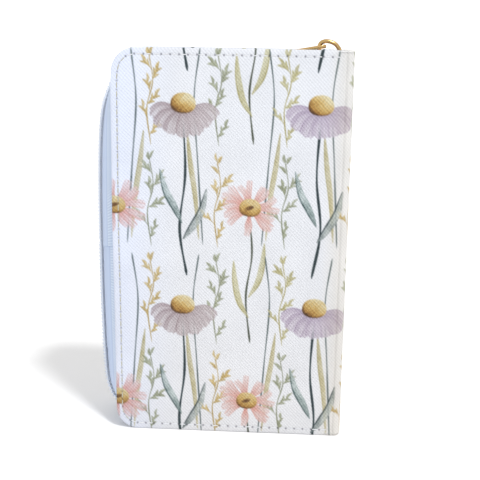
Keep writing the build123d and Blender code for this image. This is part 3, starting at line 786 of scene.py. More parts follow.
nt.links.new(N.bump(hh, 0.4, 0.00010), bs.inputs["Normal"])
bs.inputs["Sheen Weight"].default_value = 0.15

coil_mat, nt, bs = material("zip_coil", srgb(176, 190, 220), 0.34, spec=0.45)
N = Net(nt)
nt.links.new(N.ramp(N.noise(700.0, 3), [(0.3, srgb(208, 218, 236)), (0.7, srgb(226, 234, 244))]), bs.inputs["Base Color"])
nt.links.new(N.bump(N.noise(2600.0, 2), 0.15, 0.00004), bs.inputs["Normal"])
bs.inputs["Subsurface Weight"].default_value = 0.0

band_mat, nt, bs = material("band_cloth", srgb(190, 200, 224), 0.7, spec=0.3)
N = Net(nt)
y = N.xyz(N.coords())[1]
s = N.math("GREATER_THAN", N.math("SINE", N.math("MULTIPLY", y, 2 * math.pi / (1.6 * MM))), 0.0)
f = N.math("SINE", N.math("MULTIPLY", y, 2 * math.pi / (0.2 * MM)))
cc = N.mix(s, srgb(120, 136, 178), srgb(236, 234, 226))
nt.links.new(N.mix(N.math("MULTIPLY_ADD", f, 0.12, 0.12), cc, srgb(90, 96, 120), "MULTIPLY"), bs.inputs["Base Color"])
nt.links.new(N.bump(f, 0.5, 0.00006), bs.inputs["Normal"])


# ============================================================== leather pieces
def seam_depth(x, z):
    """Pressed-in depth of the seam line and the softened margin outside it."""
    cx, cz = XF + RC, RC
    dx = x - XF
    dz = np.minimum(z, H - z)
    inner = np.minimum(dx, dz)
    qx, qz = np.maximum(RC - dx, 0), np.maximum(RC - dz, 0)
    corner = RC - np.hypot(qx, qz)
    d = np.where((dx < RC) & (dz < RC), corner, inner)
    fade = np.clip((44.2 - x) / 1.2, 0, 1)
    return d, (0.17 * np.exp(-(((d - SEAM) / 0.34) ** 2)) + 0.20 * np.clip(1 - d / 2.4, 0, 1) ** 1.5) * fade


def bowed(x, z):
    """The fore edge stands out by up to 0.8 mm in its upper half."""
    g = np.interp(z, [0, 12, 52, 80, 134, 141, 147], [0, 0, 0.35, 0.75, 0.80, 0.35, 0.0])
    f = np.clip((XF + 14 - x) / 14, 0, 1)
    return x - g * f * f * (3 - 2 * f)


def hole_points():
    line = seam_rail(SEAM, 43.4, (200, 60, 300, 60, 200))
    pts, s = resample(line, step=0.05)
    total = s[-1]
    n = int(round(total / 3.24))
    at = np.linspace(0, total, n + 1)
    return np.stack([np.interp(at, s, pts[:, k]) for k in (0, 1)], 1)


HOLES = hole_points()


def painted_hole_shade(x, z):
    """Painted shade in the needle holes on the seam, 0..1."""
    f = np.zeros_like(x)
    d, _ = seam_depth(x, z)
    m = np.abs(d - SEAM) < 0.9
    idx = np.flatnonzero(m)
    if len(idx):
        P = np.stack([x[idx], z[idx]], 1)
        best = np.full(len(idx), 1e9)
        for h in HOLES:
            best = np.minimum(best, (P[:, 0] - h[0]) ** 2 + (P[:, 1] - h[1]) ** 2)
        f[idx] = np.exp(-best / (0.31**2))
    return f


RINGS = [(RE * math.sin(a), RE * (1 - math.cos(a))) for a in np.radians((18, 36, 54, 72, 90))]
RINGS += [(RE, 1.3), (RE, 1.8), (RE - 0.03, 2.25), (RE - 0.25, 2.48), (RE - 1.4, 2.48), (RE - 1.95, 2.46)]


def leather_attrs(s, t, x=None, z=None):
    col = sample(art, s, t)
    kk = sample(ink, s, t)
    if x is not None:
        # painted shade: each needle hole darkened, less on the fore edge
        needle_hole_shade = (painted_hole_shade(x, z) * np.where(x < XF + 4, 0.6, 1.0))[:, None]
        col = col * (1 - 0.78 * needle_hole_shade) + c8(60, 58, 70)[None] * 0.78 * needle_hole_shade
    rgba = np.concatenate([linear(col), np.ones((len(s), 1))], 1)
    return {"print_and_painted_shade": rgba, "ink": kk, "unwrap": np.stack([s, t, np.zeros_like(s)], 1)}


def cover_panel(side):
    R = RC - RE
    x0, z0, z1 = XF + RE, RE, H - RE
    a = np.linspace(0, math.pi / 2, 46)
    xc = x0 + R * (1 - np.cos(a))
    zc = R * (1 - np.sin(a))
    nst = int((XSPLIT - xc[-1]) / DX)
    xs = np.r_[xc, np.linspace(xc[-1], XSPLIT, nst + 1)[1:]]
    zi = np.r_[zc, np.zeros(nst)]
    nz = int((z1 - z0) / DZ)
    w = np.linspace(0, 1, nz)
    X = np.repeat(xs[:, None], nz, 1)
    Z = (z0 + zi)[:, None] + w[None] * (z1 - z0 - 2 * zi)[:, None]
    n, m = X.shape
    d, dep = seam_depth(X.ravel(), Z.ravel())
    low = 0.05 * (np.sin(X.ravel() * 0.11 + 1.0) * np.sin(Z.ravel() * 0.073 + side) + 1)
    verts = [np.stack([X.ravel(), side * (Y - dep - low), Z.ravel()], 1)]
    quads = [grid_quads(n, m)]
    # boundary rail: bottom from the fold to the corner, up the fore edge, top back to the fold
    idx = np.r_[np.arange(n)[::-1] * m, np.arange(1, m - 1), np.arange(n) * m + (m - 1)]
    ang = np.r_[np.full(nst, math.pi / 2), a[::-1]]
    dirs = np.r_[np.stack([-np.cos(ang), -np.sin(ang)], 1), np.tile([-1.0, 0.0], (m - 2, 1)),
                 np.stack([-np.cos(ang[::-1]), np.sin(ang[::-1])], 1)]
    bx, bz = X.ravel()[idx], Z.ravel()[idx]
    depb = (dep + low)[idx]
    nb = len(idx)
    base = n * m
    prev = idx
    for off, dp in RINGS:
        k = max(0.0, 1 - dp / 0.8)
        verts.append(np.stack([bx + dirs[:, 0] * off, side * (Y - np.maximum(dp, 0) - depb * k), bz + dirs[:, 1] * off], 1))
        cur = base + np.arange(nb)
        quads.append(np.stack([prev[:-1], prev[1:], cur[1:], cur[:-1]], 1))
        prev, base = cur, base + nb
    V = np.vstack(verts)
    Q = np.vstack(quads)
    s, t = V[:, 0] - XF, H - V[:, 2]
    depth = Y - np.abs(V[:, 1])
    extra = np.clip(depth - RE, 0, 3)
    s = np.where(V[:, 0] < XF + 1.0, s - extra, s)
    t = np.where(V[:, 2] > H - 1.0, t - extra, np.where(V[:, 2] < 1.0, t + extra, t))
    if side > 0:
        s = 2 * S_SPINE + 2 * Y - s
    at = leather_attrs(s, t, V[:, 0], V[:, 2])
    V[:, 0] = bowed(V[:, 0], V[:, 2])
    ob = mesh("back panel" if side < 0 else "front panel", V, Q, leather, attrs=at, flip=side < 0)
    return ob


def fold_piece(side):
    """Soft fold and half of the spine, from the panel's edge to the spine's middle."""
    rs = 2.7
    p, nrm = [], []
    for x in np.r_[np.arange(XSPLIT, 43.9, 0.3), np.arange(43.9, XH + 0.12, 0.09)]:
        p.append((x, Y)); nrm.append((0, 1))
    for a in np.radians(np.arange(0, 91, 9)):
        p.append((XS - rs + rs * math.sin(a), Y - rs + rs * math.cos(a))); nrm.append((math.sin(a), math.cos(a)))
    for y in np.arange(Y - rs - 0.36, 0.0, -0.36):
        p.append((XS, y)); nrm.append((1, 0))
    p.append((XS, 0.0)); nrm.append((1, 0))
    p, nrm = np.array(p), np.array(nrm, float)
    arc = np.r_[0, np.cumsum(np.linalg.norm(np.diff(p, axis=0), axis=1))]
    z0, z1 = RE, H - RE
    nz = int((z1 - z0) / DZ)
    z = np.linspace(z0, z1, nz)
    n, m = len(p), nz
    crease = 0.42 * np.exp(-(((p[:, 0] - XH) / 0.34) ** 2)) * (p[:, 1] > Y - 0.01)
    X, Z = np.repeat(p[:, 0][:, None], m, 1), np.repeat(z[None], n, 0)
    _, dep = seam_depth(X.ravel(), Z.ravel())
    low = 0.05 * (np.sin(X.ravel() * 0.11 + 1.0) * np.sin(Z.ravel() * 0.073 + side) + 1)
    fade = np.clip((46.0 - X.ravel()) / 3.0, 0, 1)
    D = dep + low * fade + np.repeat(crease, m)
    rows = lambda off, dp, zz, DD: np.stack(
        [np.repeat(p[:, 0], len(zz) // n) - np.repeat(nrm[:, 0], len(zz) // n) * (dp + DD),
         side * (np.repeat(p[:, 1], len(zz) // n) - np.repeat(nrm[:, 1], len(zz) // n) * (dp + DD)), zz], 1)
    V = [rows(0, 0, Z.ravel(), D)]
    Q = [grid_quads(n, m)]
    base = n * m
    for top in (False, True):
        prev = np.arange(n) * m + (m - 1 if top else 0)
        DD = D[prev]
        sg = 1 if top else -1
        zz = z1 if top else z0
        for off, dp in RINGS:
            dpl = min(dp, 2.1 + 0.4 * 1) if dp > 2 else dp
            k = max(0.0, 1 - dp / 0.8)
            V.append(rows(off, dpl, np.full(n, zz + sg * off), DD * k))
            cur = base + np.arange(n)
            q = np.stack([prev[:-1], prev[1:], cur[1:], cur[:-1]], 1)
            Q.append(q if not top else q[:, ::-1])
            prev, base = cur, base + n
    V, Q = np.vstack(V), np.vstack(Q)
    sx = XSPLIT - XF + arc
    s = np.r_[np.repeat(sx, m), np.tile(sx, len(RINGS) * 2)]
    t = H - V[:, 2]
    if side > 0:
        s = 2 * S_SPINE + 2 * Y - s
    # the rounded edges take up a little less skin than the square outline
    at = leather_attrs(s, t)
    return mesh("back fold" if side < 0 else "front fold", V, Q, leather, attrs=at, flip=side > 0)


back_panel = cover_panel(-1)
front_panel = cover_panel(1)
back_fold = fold_piece(-1)
front_fold = fold_piece(1)
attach(back_panel, "back_cover")
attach(front_panel, "front_cover")
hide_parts("back_cover_skin")
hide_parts("front_cover_skin")
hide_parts("spine_skin")


def bend(ob, side, x0, x1):
    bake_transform(ob)


SOFT = 43.9                   # the softer part of the fold, from here to the fold line
bend(back_fold, -1, SOFT, XH)
bend(front_fold, 1, SOFT, XH)


# =================================================================== stitching
def stitches(name, pts, y, rad, side, sink=0.16, sides=8, rows=9):
    """Separate lock stitches between needle holes; each dips into the cloth at both ends."""
    V, Q, U = [], [], []
    base = 0
    u = np.linspace(0, 1, rows)
    th = np.linspace(0, 2 * np.pi, sides, endpoint=False)
    for k in range(len(pts) - 1):
        a, b = pts[k], pts[k + 1]
        d = b - a
        ln = np.linalg.norm(d)
        d = d / ln
        a2, b2 = a + d * 0.28, b - d * 0.28
        nx = np.array([-d[1], d[0]])
        cen = a2[None] * (1 - u[:, None]) + b2[None] * u[:, None]
        lift = -sink + (sink + 0.10) * np.sin(np.pi * u) ** 0.45
        r = rad * (0.45 + 0.55 * np.sin(np.pi * u) ** 0.35)
        for j in range(rows):
            ring_y = y + side * (lift[j] + 0.62 * r[j] * np.cos(th))
            off = r[j] * np.sin(th)
            V.append(np.stack([cen[j, 0] + nx[0] * off, ring_y, cen[j, 1] + nx[1] * off], 1))
            # the third value marks the stitches near the fore edge, which get the painted shade
            U.append(np.stack([np.full(sides, u[j] * ln), th / (2 * np.pi), np.full(sides, float(cen[j, 0] < XF + 5))], 1))
        Q.append(grid_quads(rows, sides, base, close_m=True))
        base += rows * sides
    V = np.vstack(V)
    V[:, 0] = bowed(V[:, 0], V[:, 2])
    caps = []
    for k in range(len(pts) - 1):
        b0 = k * rows * sides
        caps += [np.arange(sides)[::-1] + b0, np.arange(sides) + b0 + (rows - 1) * sides]
    ob = mesh(name, V, np.vstack(Q), thread, attrs={"along": np.vstack(U)}, caps=caps)
    return ob


for side, nm in ((-1, "back"), (1, "front")):
    o = stitches(nm + " edge stitches", HOLES, side * (Y - 0.27), 0.22, side)
    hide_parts(nm + "_seam_thread")
    bend(o, side, SOFT, XH)
    inner = HOLES[HOLES[:, 0] < 40.3]
    cut = np.flatnonzero(np.linalg.norm(np.diff(inner, axis=0), axis=1) > 5)
    o = stitches(nm + " inner stitches", inner, side * 11.12, 0.24, -side, sink=0.05)
    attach(o, nm + "_cover")


# ========================================================================= zip
SEG = (320, 70, 520, 70, 320)


def tape(name, side, part):
    A = seam_rail(1.9, 44.0, SEG)
    B = coil_rail(2.1, 44.0, SEG)
    d = np.r_[0, np.cumsum(np.linalg.norm(np.diff(B, axis=0), axis=1))]
    if part == "upper":
        k = slice(0, len(A) // 2 + 2)
    elif part == "lower":
        k = slice(len(A) // 2, len(A))
    else:
        k = slice(0, len(A))
    A, B, d = A[k], B[k], d[k]
    nn = normals2(B)
    m = 15
    v = np.linspace(0, 1, m)
    V, U = [], []
    for layer in (1, -1):
        for j in range(m):
            w = v[j]
            bow = 0.85 * 4 * w * (1 - w) * 0.5
            P = A * (1 - w) + B * w + nn * bow
            y = 11.08 * (1 - w) + 1.52 * w
            ribs = 0.08 * np.sin(2 * np.pi * d / 1.0) * (1.0 if 0.06 < w < 0.62 and layer > 0 else 0.0)
            P = P + nn * (layer * (0.17 + (0.05 if 0.52 < w < 0.8 else 0)) + ribs)[:, None]
            yy = y + 0.18 * layer
            V.append(np.stack([P[:, 0], np.full(len(P), side * 1.0) * yy, P[:, 1]], 1))
            U.append(np.stack([d, np.full(len(P), w), np.zeros(len(P))], 1))
    V = np.stack(V, 0)      # (2m, L, 3) as a closed section
    V = np.concatenate([V[:m], V[m:][::-1]], 0)
    U = np.stack(U, 0)
    U = np.concatenate([U[:m], U[m:][::-1]], 0)
    n2, L = V.shape[0], V.shape[1]
    q = grid_quads(n2, L, close_n=True)
    caps = [np.arange(n2) * L, (np.arange(n2) * L + L - 1)[::-1]]
    return mesh(name, V.reshape(-1, 3), q, tape_mat, attrs={"along": U.reshape(-1, 3)}, caps=caps, flip=side < 0)


def tube(line, rad, sides=6, ry=None):
    """Tube rings along a 3-D line; rad may vary."""
    t = np.gradient(line, axis=0)
    t /= np.linalg.norm(t, axis=1)[:, None] + 1e-12
    ref = np.array([0.0, 1.0, 0.0])
    a = np.cross(t, ref)
    bad = np.linalg.norm(a, axis=1) < 1e-3
    a[bad] = np.cross(t[bad], [0.0, 0.0, 1.0])
    a /= np.linalg.norm(a, axis=1)[:, None]
    b = np.cross(a, t)
    th = np.linspace(0, 2 * np.pi, sides, endpoint=False)
    rad = np.broadcast_to(np.asarray(rad, float), (len(line),))
    ry = rad if ry is None else np.broadcast_to(np.asarray(ry, float), (len(line),))
    return line[:, None] + a[:, None] * (np.cos(th)[None, :, None] * rad[:, None, None]) + b[:, None] * (np.sin(th)[None, :, None] * ry[:, None, None])


def coil(name, side, part, phase):
    rail, s = resample(coil_rail(1.2, 41.0, (500, 120, 800, 120, 500)), step=0.1)
    nn = normals2(rail)
    pitch = 1.5
    turns = s[-1] / pitch
    lo, hi = 0.0, s[-1]
    mid = s[-1] * 0.5
    if part == "upper":
        hi = mid
    elif part == "lower":
        lo = mid
    per = 14
    k = np.arange(lo + 0.35, hi - 0.35, pitch / per)
    ph = 2 * np.pi * k / pitch + phase
    px = np.stack([np.interp(k, s, rail[:, i]) for i in (0, 1)], 1)
    pn = np.stack([np.interp(k, s, nn[:, i]) for i in (0, 1)], 1)
    pn /= np.linalg.norm(pn, axis=1)[:, None]
    c, sn = np.cos(ph), np.sin(ph)
    yy = 0.62 + 0.62 * np.sign(c) * np.abs(c) ** 0.8
    nn_off = 0.92 * np.sign(sn) * np.abs(sn) ** 0.75
    line = np.stack([px[:, 0] + pn[:, 0] * nn_off, side * yy, px[:, 1] + pn[:, 1] * nn_off], 1)
    rings = tube(line, 0.27, 6)
    n, m = rings.shape[0], rings.shape[1]
    caps = [np.arange(m)[::-1], np.arange(m) + (n - 1) * m]
    return mesh(name, rings.reshape(-1, 3), grid_quads(n, m, close_m=True), coil_mat, caps=caps)


def sewing(name, side, part, y, depth, rad):
    """Chain of short lock stitches that holds the coil to its tape."""
    rail, s = resample(coil_rail(depth, 42.6, (500, 120, 800, 120, 500)), step=0.25)
    L = len(rail)
    sl = slice(0, L // 2 + 1) if part == "upper" else slice(L // 2, L) if part == "lower" else slice(0, L)
    rail, s = rail[sl], s[sl]
    nn = normals2(rail)
    beat = np.abs(np.sin(np.pi * s / 1.5)) ** 0.5
    line = np.stack([rail[:, 0] + nn[:, 0] * 0.12 * beat, np.full(len(s), side * y), rail[:, 1] + nn[:, 1] * 0.12 * beat], 1)
    r = tube(line, rad * (0.7 + 0.3 * beat), 8)
    n, m = r.shape[:2]
    U = np.stack([np.repeat(s, m), np.tile(np.arange(m) / m, n), np.zeros(n * m)], 1)
    caps = [np.arange(m)[::-1], np.arange(m) + (n - 1) * m]
    return mesh(name, r.reshape(-1, 3), grid_quads(n, m, close_m=True), coil_thread, attrs={"along": U}, caps=caps)


coil_thread, nt, bs = material("zip_sewing", srgb(196, 208, 230), 0.6, spec=0.3)
N = Net(nt)
tv = N.xyz(N.attr("along").outputs["Vector"])
tw = N.math("SINE", N.math("ADD", N.math("MULTIPLY", tv[0], 11.0), N.math("MULTIPLY", tv[1], 6.2832)))
nt.links.new(N.ramp(N.math("MULTIPLY_ADD", tw, 0.5, 0.5), [(0.0, srgb(210, 220, 236)), (0.7, srgb(234, 240, 248))]), bs.inputs["Base Color"])
nt.links.new(N.bump(tw, 0.4, 0.00006), bs.inputs["Normal"])

BL0, BL1 = 31.0, 44.0
for side, nm in ((-1, "back"), (1, "front")):
    parts = ("upper", "lower") if side < 0 else ("whole",)
    for p in parts:
        tag = nm + (" full zip " if p == "whole" else " " + p + " zip ")
        objs = [tape(tag + "tape", side, p), coil(tag + "coil", side, p, 0.0 if side < 0 else math.pi),
                sewing(tag + "sewing", side, p, 1.70, 1.12, 0.34)]
        for o, node in zip(objs, (nm + "_zip_tape", nm + "_zip_coil", None)):
            if node and p in ("upper", "whole"):
                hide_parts(node)
            if p == "upper":
                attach(o, "back_cover")
            else:
                bend(o, side, BL0, BL1)


# ============================================================== slider and pull
def lathe_plate(outline, z0, z1, rnd, dome_h=0.0):
    """Plate from a closed xy outline with rounded rims; returns verts, quads, caps."""
    o = np.asarray(outline, float)
    c = o.mean(0)
    t = np.roll(o, -1, 0) - np.roll(o, 1, 0)
    t /= np.linalg.norm(t, axis=1)[:, None]
    nrm = np.stack([t[:, 1], -t[:, 0]], 1)
    if ((o - c) * nrm).sum() < 0:
        nrm = -nrm
    rings = []
    a = np.radians([0, 22, 45, 68, 90])
    for k in a:
        rings.append((rnd * (1 - math.sin(k)), z0 + rnd * (1 - math.cos(k))))
    for k in a[::-1]:
        rings.append((rnd * (1 - math.sin(k)), z1 - rnd * (1 - math.cos(k))))
    n = len(o)
    V = [np.c_[c[0], c[1], z0]]
    V += [np.c_[o - nrm * off, np.full(n, z)] for off, z in rings]
    top = [np.c_[c + (o - nrm * rnd - c) * f, np.full(n, z1 + dome_h * (1 - f * f))] for f in (0.8, 0.55, 0.3, 0.1)]
    V += top
    V = V[1:]
    m = len(V)
    Q = grid_quads(m, n, close_m=True)
    caps = [np.arange(n)[::-1], np.arange(n) + (m - 1) * n]
    return np.vstack(V), Q, caps


def join(name, parts, mat):
    V, Q, C, b = [], [], [], 0
    for v, q, caps in parts:
        V.append(v)
        Q.append(np.asarray(q) + b)
        C += [np.asarray(c) + b for c in caps]
        b += len(v)
    ob = mesh(name, np.vstack(V), np.vstack(Q), mat, caps=C)
    import bmesh
    bm = bmesh.new()
    bm.from_mesh(ob.data)
    bmesh.ops.recalc_face_normals(bm, faces=bm.faces)
    bm.to_mesh(ob.data)
    bm.free()
    return ob


def closed(points, n=72):
    p = np.asarray(points, float)
    k = len(p)
    q = np.vstack([p[-1:], p, p[:2]])
    u = np.linspace(0, k, n, endpoint=False)
    i = u.astype(int)
    f = (u - i)[:, None]
    a, b, c, d = q[i], q[i + 1], q[i + 2], q[i + 3]
    return 0.5 * (2 * b + (c - a) * f + (2 * a - 5 * b + 4 * c - d) * f**2 + (3 * b - a - 3 * c + d) * f**3)


half = [(34.55, 0.0), (34.8, 1.5), (36.2, 2.35), (38.2, 3.0), (40.3, 3.85), (42.4, 3.95), (43.7, 3.2), (44.0, 1.9), (43.5, 0.9)]
shield = closed(half + [(43.35, 0.0)] + [(x, -y) for x, y in half[::-1] if y > 0])
flange = []
parts = [lathe_plate(shield, 144.15, 145.15, 0.38, 0.18), lathe_plate(shield, 140.6, 141.5, 0.34)]
for sy in (-1, 1):
    for z0, z1 in ((143.75, 144.3), (141.35, 141.85)):
        rail = [(35.2, sy * 1.62), (36.6, sy * 2.1), (38.6, sy * 2.78), (40.4, sy * 3.55), (42.4, sy * 3.66), (43.3, sy * 3.1)]
        ln = smooth(rail, 26)
        line = np.c_[ln, np.full(len(ln), (z0 + z1) / 2)]
        r = tube(line, 0.27, 8, 0.27)
        n, m = r.shape[:2]
        parts.append((r.reshape(-1, 3), grid_quads(n, m, close_m=True), [np.arange(m)[::-1], np.arange(m) + (n - 1) * m]))
post = closed([(40.9, 0), (41.6, 0.42), (43.0, 0.55), (43.25, 0), (43.0, -0.55), (41.6, -0.42)], 28)
parts.append(lathe_plate(post, 141.2, 144.4, 0.1))
slider_body = join("slider_cast_body", parts, gold)
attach(slider_body, "slider")
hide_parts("slider_body")

# arched bridge
mid = np.array([(35.62, 144.9), (35.6, 146.6), (35.62, 148.3), (36.25, 149.4), (37.4, 149.95), (38.6, 150.02), (40.1, 149.7),
                (41.4, 149.05), (42.3, 148.15), (43.0, 147.1), (43.1, 146.0), (43.1, 144.9)])
ln = smooth(mid, 64)
line = np.c_[ln[:, 0], np.zeros(len(ln)), ln[:, 1]]
r = tube(line, np.full(len(ln), 0.78), 14, np.full(len(ln), 1.08))
n, m = r.shape[:2]
bridge = join("slider_arch", [(r.reshape(-1, 3), grid_quads(n, m, close_m=True), [np.arange(m)[::-1], np.arange(m) + (n - 1) * m])], gold)
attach(bridge, "slider")
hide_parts("slider_bridge")


# pull: an eye round the bridge, a waisted neck and a long tab
def pull():
    px, pz, tilt = 37.4, 148.25, math.radians(10.0)
    L, th = 20.0, 1.3
    hw = lambda u: np.interp(u, [0, 1.2, 3.0, 5.2, 8.0, 15.0, 18.0, 19.4, 20.0], [1.3, 2.1, 2.3, 2.3, 2.45, 2.9, 2.98, 2.45, 1.5])
    n = 96
    # outer outline by angle-free march: down one side and back
    us = np.r_[np.linspace(0.0, L, 40)]
    left = np.c_[us, hw(us)]
    right = np.c_[us[::-1], -hw(us[::-1])]
    outer, _ = resample(np.vstack([left, right, left[:1]]), n=n + 1)
    outer = outer[:-1]
    a = np.linspace(0, 2 * np.pi, 200)
    slot = np.c_[2.6 + 1.85 * np.sign(np.cos(a)) * np.abs(np.cos(a)) ** 0.7, 1.43 * np.sign(np.sin(a)) * np.abs(np.sin(a)) ** 0.7]
    ao = np.arctan2(outer[:, 1], outer[:, 0] - 2.6)
    sa = np.arctan2(slot[:, 1], slot[:, 0] - 2.6)
    order = np.argsort(sa)
    ix = np.interp(ao, sa[order], slot[order, 0], period=2 * np.pi)
    iy = np.interp(ao, sa[order], slot[order, 1], period=2 * np.pi)
    inner = np.c_[ix, iy]
    # sections from the slot's wall over the face to the outer rim and round underneath
    def off(P, d, sgn):
        t = np.roll(P, -1, 0) - np.roll(P, 1, 0)
        t /= np.linalg.norm(t, axis=1)[:, None] + 1e-9
        nn = np.c_[t[:, 1], -t[:, 0]]
        c = P.mean(0)
        if ((P - c) * nn).sum() < 0:
            nn = -nn
        return P + nn * d * sgn
    rr = 0.42
    rings = []
    A = np.radians([0, 30, 60, 90])
    for k in A:                                   # inner wall to top
        rings.append((off(inner, rr * (1 - math.cos(k)), 1), th / 2 - rr * (1 - math.sin(k))))
    o1 = off(outer, rr, -1)
    for k in A[::-1]:
        rings.append((off(outer, rr * (1 - math.cos(k)), -1), th / 2 - rr * (1 - math.sin(k))))
    for k in A:
        rings.append((off(outer, rr * (1 - math.cos(k)), -1), -th / 2 + rr * (1 - math.sin(k))))
    for k in A[::-1]:
        rings.append((off(inner, rr * (1 - math.cos(k)), 1), -th / 2 + rr * (1 - math.sin(k))))
    V = []
    for P, w in rings:
        u, v = P[:, 0], P[:, 1]
        x = px + 2.6 - 0.0 - (u) * 1.0
        V.append((u, v, np.full(len(u), w)))
    U = np.concatenate([v[0] for v in V]); W = np.concatenate([v[1] for v in V]); T = np.concatenate([v[2] for v in V])
    return U, W, T, len(rings), n


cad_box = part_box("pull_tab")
U, W, T, nr, nn_ = pull()
tilt = math.radians(10.0)
# the slot's near end hangs on the bridge: u is measured from the pull's eye end
lo = [float(c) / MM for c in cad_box[0]]
hi = [float(c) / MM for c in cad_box[1]]
du = np.array([-math.cos(tilt), -math.sin(tilt)])        # along the pull, in xz
dn = np.array([-math.sin(tilt), math.cos(tilt)])         # its upper face
xz = U[:, None] * du[None] + T[:, None] * dn[None]
# place so that its box matches the CAD piece's
xz += np.array([hi[0] - xz[:, 0].max(), lo[2] - xz[:, 1].min()])
Vp = np.stack([xz[:, 0], W, xz[:, 1]], 1)
pull_ob = join("pull", [(Vp, grid_quads(nr, nn_, close_n=True, close_m=True), [])], gold)
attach(pull_ob, "pull")
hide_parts("pull_tab")


# stops: small folded metal clamps
def clamp(name, node, body, bulge):
    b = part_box(node)
    lo, hi = np.array(b[0], float) / MM, np.array(b[1], float) / MM
    c, h = (lo + hi) / 2, (hi - lo) / 2
    nu, nv = 28, 18
    u = np.linspace(0, 2 * np.pi, nu, endpoint=False)
    v = np.linspace(-np.pi / 2, np.pi / 2, nv)
    p = 0.35
    sp = lambda w, e: np.sign(w) * np.abs(w) ** e
    V = []
    for j in v[1:-1]:
        for i in u:
            x = h[0] * sp(math.cos(j), p) * sp(math.cos(i), p)
            y = h[1] * sp(math.cos(j), p) * sp(math.sin(i), p)
            z = h[2] * sp(math.sin(j), p)
            g = 1 - 0.10 * math.exp(-((z / (0.35 * h[2])) ** 2)) * bulge
            V.append((c[0] + x * g, c[1] + y * g, c[2] + z))
    m = nv - 2
    q = grid_quads(m, nu, close_m=True)
    caps = [np.arange(nu)[::-1], np.arange(nu) + (m - 1) * nu]
    o = join(name, [(np.array(V), q, caps)], gold)
    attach(o, body)
    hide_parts(node)


clamp("front stop", "front_top_stop", "spine", 1)
clamp("back stop", "back_top_stop", "back_cover", 1)
clamp("tail stop", "bottom_stop", "spine", 1)


# ================================================================== book block
def section(name, node, body, seed):
    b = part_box(node)
    lo, hi = np.array(b[0], float) / MM, np.array(b[1], float) / MM
    g = np.random.default_rng(seed)
    R = 5.0
    x0, x1, z0, z1 = lo[0], hi[0], lo[2], hi[2]
    def outline(e, fold):
        pts = []
        for a in np.linspace(0, np.pi / 2, 9):
            pts.append((x0 + e + (R) * (1 - math.sin(a)), z1 - e - R * (1 - math.cos(a))))
        for w in np.linspace(0, 1, 24)[1:-1]:
            pts.append((x0 + e, z1 - e - R - w * (z1 - z0 - 2 * e - 2 * R)))
        for a in np.linspace(np.pi / 2, 0, 9):
            pts.append((x0 + e + R * (1 - math.sin(a)), z0 + e + R * (1 - math.cos(a))))
        for w in np.linspace(0, 1, 12)[1:]:
            pts.append((x0 + e + R + w * (x1 - fold - x0 - e - R), z0 + e))
        for w in np.linspace(0, 1, 20)[1:]:
            pts.append((x1 - fold, z0 + e + w * (z1 - z0 - 2 * e)))
        for w in np.linspace(1, 0, 12)[1:-1]:
            pts.append((x0 + e + R + w * (x1 - fold - x0 - e - R), z1 - e))
        return np.array(pts)
    leaves = 12
    V = []
    ys = np.linspace(lo[1], hi[1], leaves + 1)
    for k in range(leaves):
        e = 0.02 + 0.13 * g.random()
        dy = ys[k + 1] - ys[k]
        yc = (ys[k] + dy / 2 - lo[1]) / (hi[1] - lo[1]) * 2 - 1
        fold = 0.55 * yc * yc
        for f, ex in ((0.06, 0.02), (0.14, 0.0), (0.80, 0.0), (0.92, 0.10)):
            if k == 0 and f == 0.06:
                f = 0.0
            if k == leaves - 1 and f == 0.92:
                f, ex = 1.0, 0.02
            o = outline(e + ex, fold)
            V.append(np.c_[o[:, 0], np.full(len(o), ys[k] + f * dy), o[:, 1]])
    n, m = len(V), len(V[0])
    o = join(name, [(np.vstack(V), grid_quads(n, m, close_m=True), [np.arange(m)[::-1], np.arange(m) + (n - 1) * m])], pages)
    o.data.polygons.foreach_set("use_smooth", np.zeros(len(o.data.polygons), bool))
    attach(o, body)
    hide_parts(node)


for k in range(1, 8):
    section("section " + str(k), "signature_" + str(k), "spine" if k == 4 else "signature_" + str(k), 60 + k)


def wound_band(name, node):
    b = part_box(node)
    lo, hi = np.array(b[0], float) / MM, np.array(b[1], float) / MM
    c = (lo + hi) / 2
    y = np.linspace(lo[1] + 0.02, hi[1] - 0.02, 420)
    bead = 0.9 + 0.1 * np.abs(np.sin(np.pi * y / 0.4))
    line = np.c_[np.full(len(y), c[0]), y, np.full(len(y), c[2])]
    th = np.linspace(0, 2 * np.pi, 16, endpoint=False)
    V = np.stack([c[0] + 0.5 * (hi[0] - lo[0]) * bead[:, None] * np.cos(th)[None], np.repeat(y[:, None], 16, 1),
                  c[2] + 0.5 * (hi[2] - lo[2]) * bead[:, None] * np.sin(th)[None]], -1)
    n, m = V.shape[:2]
    o = join(name, [(V.reshape(-1, 3), grid_quads(n, m, close_m=True), [np.arange(m)[::-1], np.arange(m) + (n - 1) * m])], band_mat)
    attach(o, "spine")
    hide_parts(node)


wound_band("head bead", "head_band")
wound_band("tail bead", "tail_band")


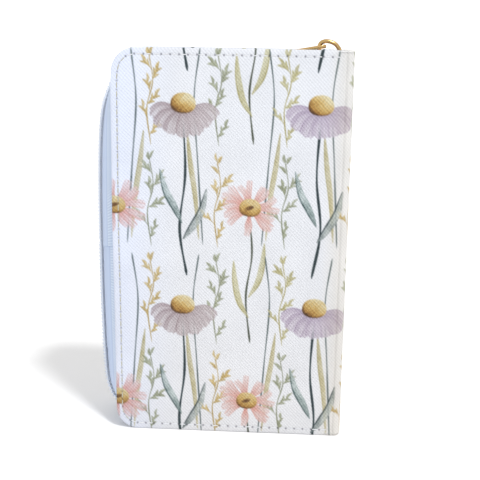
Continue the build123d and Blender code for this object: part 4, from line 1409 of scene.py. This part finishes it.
# lining across each fold, from the cover's lining to the spine's
def fold_lining(side):
    """Lining across the joint: it lies in the hollow of the fold, close under the skin."""
    nz = 150
    z = np.linspace(1.3, H - 1.3, nz)
    pts = np.array([(40.2, 11.32), (40.8, 11.5), (41.6, 12.6), (42.4, 13.42), (43.2, 13.62), (44.0, 13.64), (44.8, 13.58), (45.2, 13.34), (45.5, 12.8), (45.72, 11.6), (45.8, 10.0)])
    mid = smooth(pts, 60)
    t = np.gradient(mid, axis=0)
    t /= np.linalg.norm(t, axis=1)[:, None]
    nrm = np.c_[-t[:, 1], t[:, 0]]
    sec = np.vstack([mid + nrm * 0.08, (mid - nrm * 0.08)[::-1]])
    V = np.stack([np.c_[np.full(nz, x), np.full(nz, side * y), z] for x, y in sec])
    n, m = V.shape[:2]
    o = join(("back" if side < 0 else "front") + " fold lining",
             [(V.reshape(-1, 3), grid_quads(n, m, close_n=True), [np.arange(n) * m, (np.arange(n) * m + m - 1)[::-1]])], lining)
    bend(o, side, SOFT, XH)


fold_lining(-1)
fold_lining(1)


# ================================================== materials of carried-over CAD
def keep(node, mat):
    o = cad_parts[node]
    o = getattr(o, "object", o)
    if not o.material_slots:
        o.data.materials.append(mat)
    for s_ in o.material_slots:
        s_.material = mat


for nd in ("back_cover_board", "front_cover_board", "spine_board"):
    keep(nd, board)
for nd in ("back_cover_lining", "front_cover_lining", "spine_lining"):
    keep(nd, lining)
for nd in ("back_pastedown", "front_pastedown", "back_flyleaf", "front_flyleaf"):
    keep(nd, endpaper)
keep("mull", mull)
keep("ribbon_marker", ribbon)

# ================================================================ floor, lights
fl, nt, bs = material("floor_paper", (0.9, 0.9, 0.9), 0.9, spec=0.1)
N = Net(nt)
nt.links.new(N.ramp(N.noise(6.0, 2), [(0.3, (0.93, 0.93, 0.93)), (0.7, (0.95, 0.95, 0.95))]), bs.inputs["Base Color"])
sweep = [(0.02, 0.0), (2400.0, 0.0)]
sweep += [(2400 + 800 * math.sin(a), 800 * (1 - math.cos(a))) for a in np.linspace(0, math.pi / 2, 17)[1:]] + [(3200.0, 1150.0)]
th = np.linspace(0, 2 * np.pi, 96, endpoint=False)
V = np.array([(r_ * math.cos(a), r_ * math.sin(a), z_) for r_, z_ in sweep for a in th])
floor = mesh("studio floor", V, grid_quads(len(sweep), len(th), close_m=True), fl)

world = bpy.data.worlds.new("studio")
bpy.context.scene.world = world
world.use_nodes = True
world.node_tree.nodes["Background"].inputs[0].default_value = (0.995, 0.99, 0.985, 1)
world.node_tree.nodes["Background"].inputs[1].default_value = 0.80

sun_d = bpy.data.lights.new("key", "SUN")
sun_d.energy = 1.7
sun_d.angle = math.radians(8)
sun = bpy.data.objects.new("key", sun_d)
bpy.context.scene.collection.objects.link(sun)
from mathutils import Vector

sun.rotation_euler = Vector((-0.34, 0.42, -0.86)).to_track_quat("-Z", "Y").to_euler()
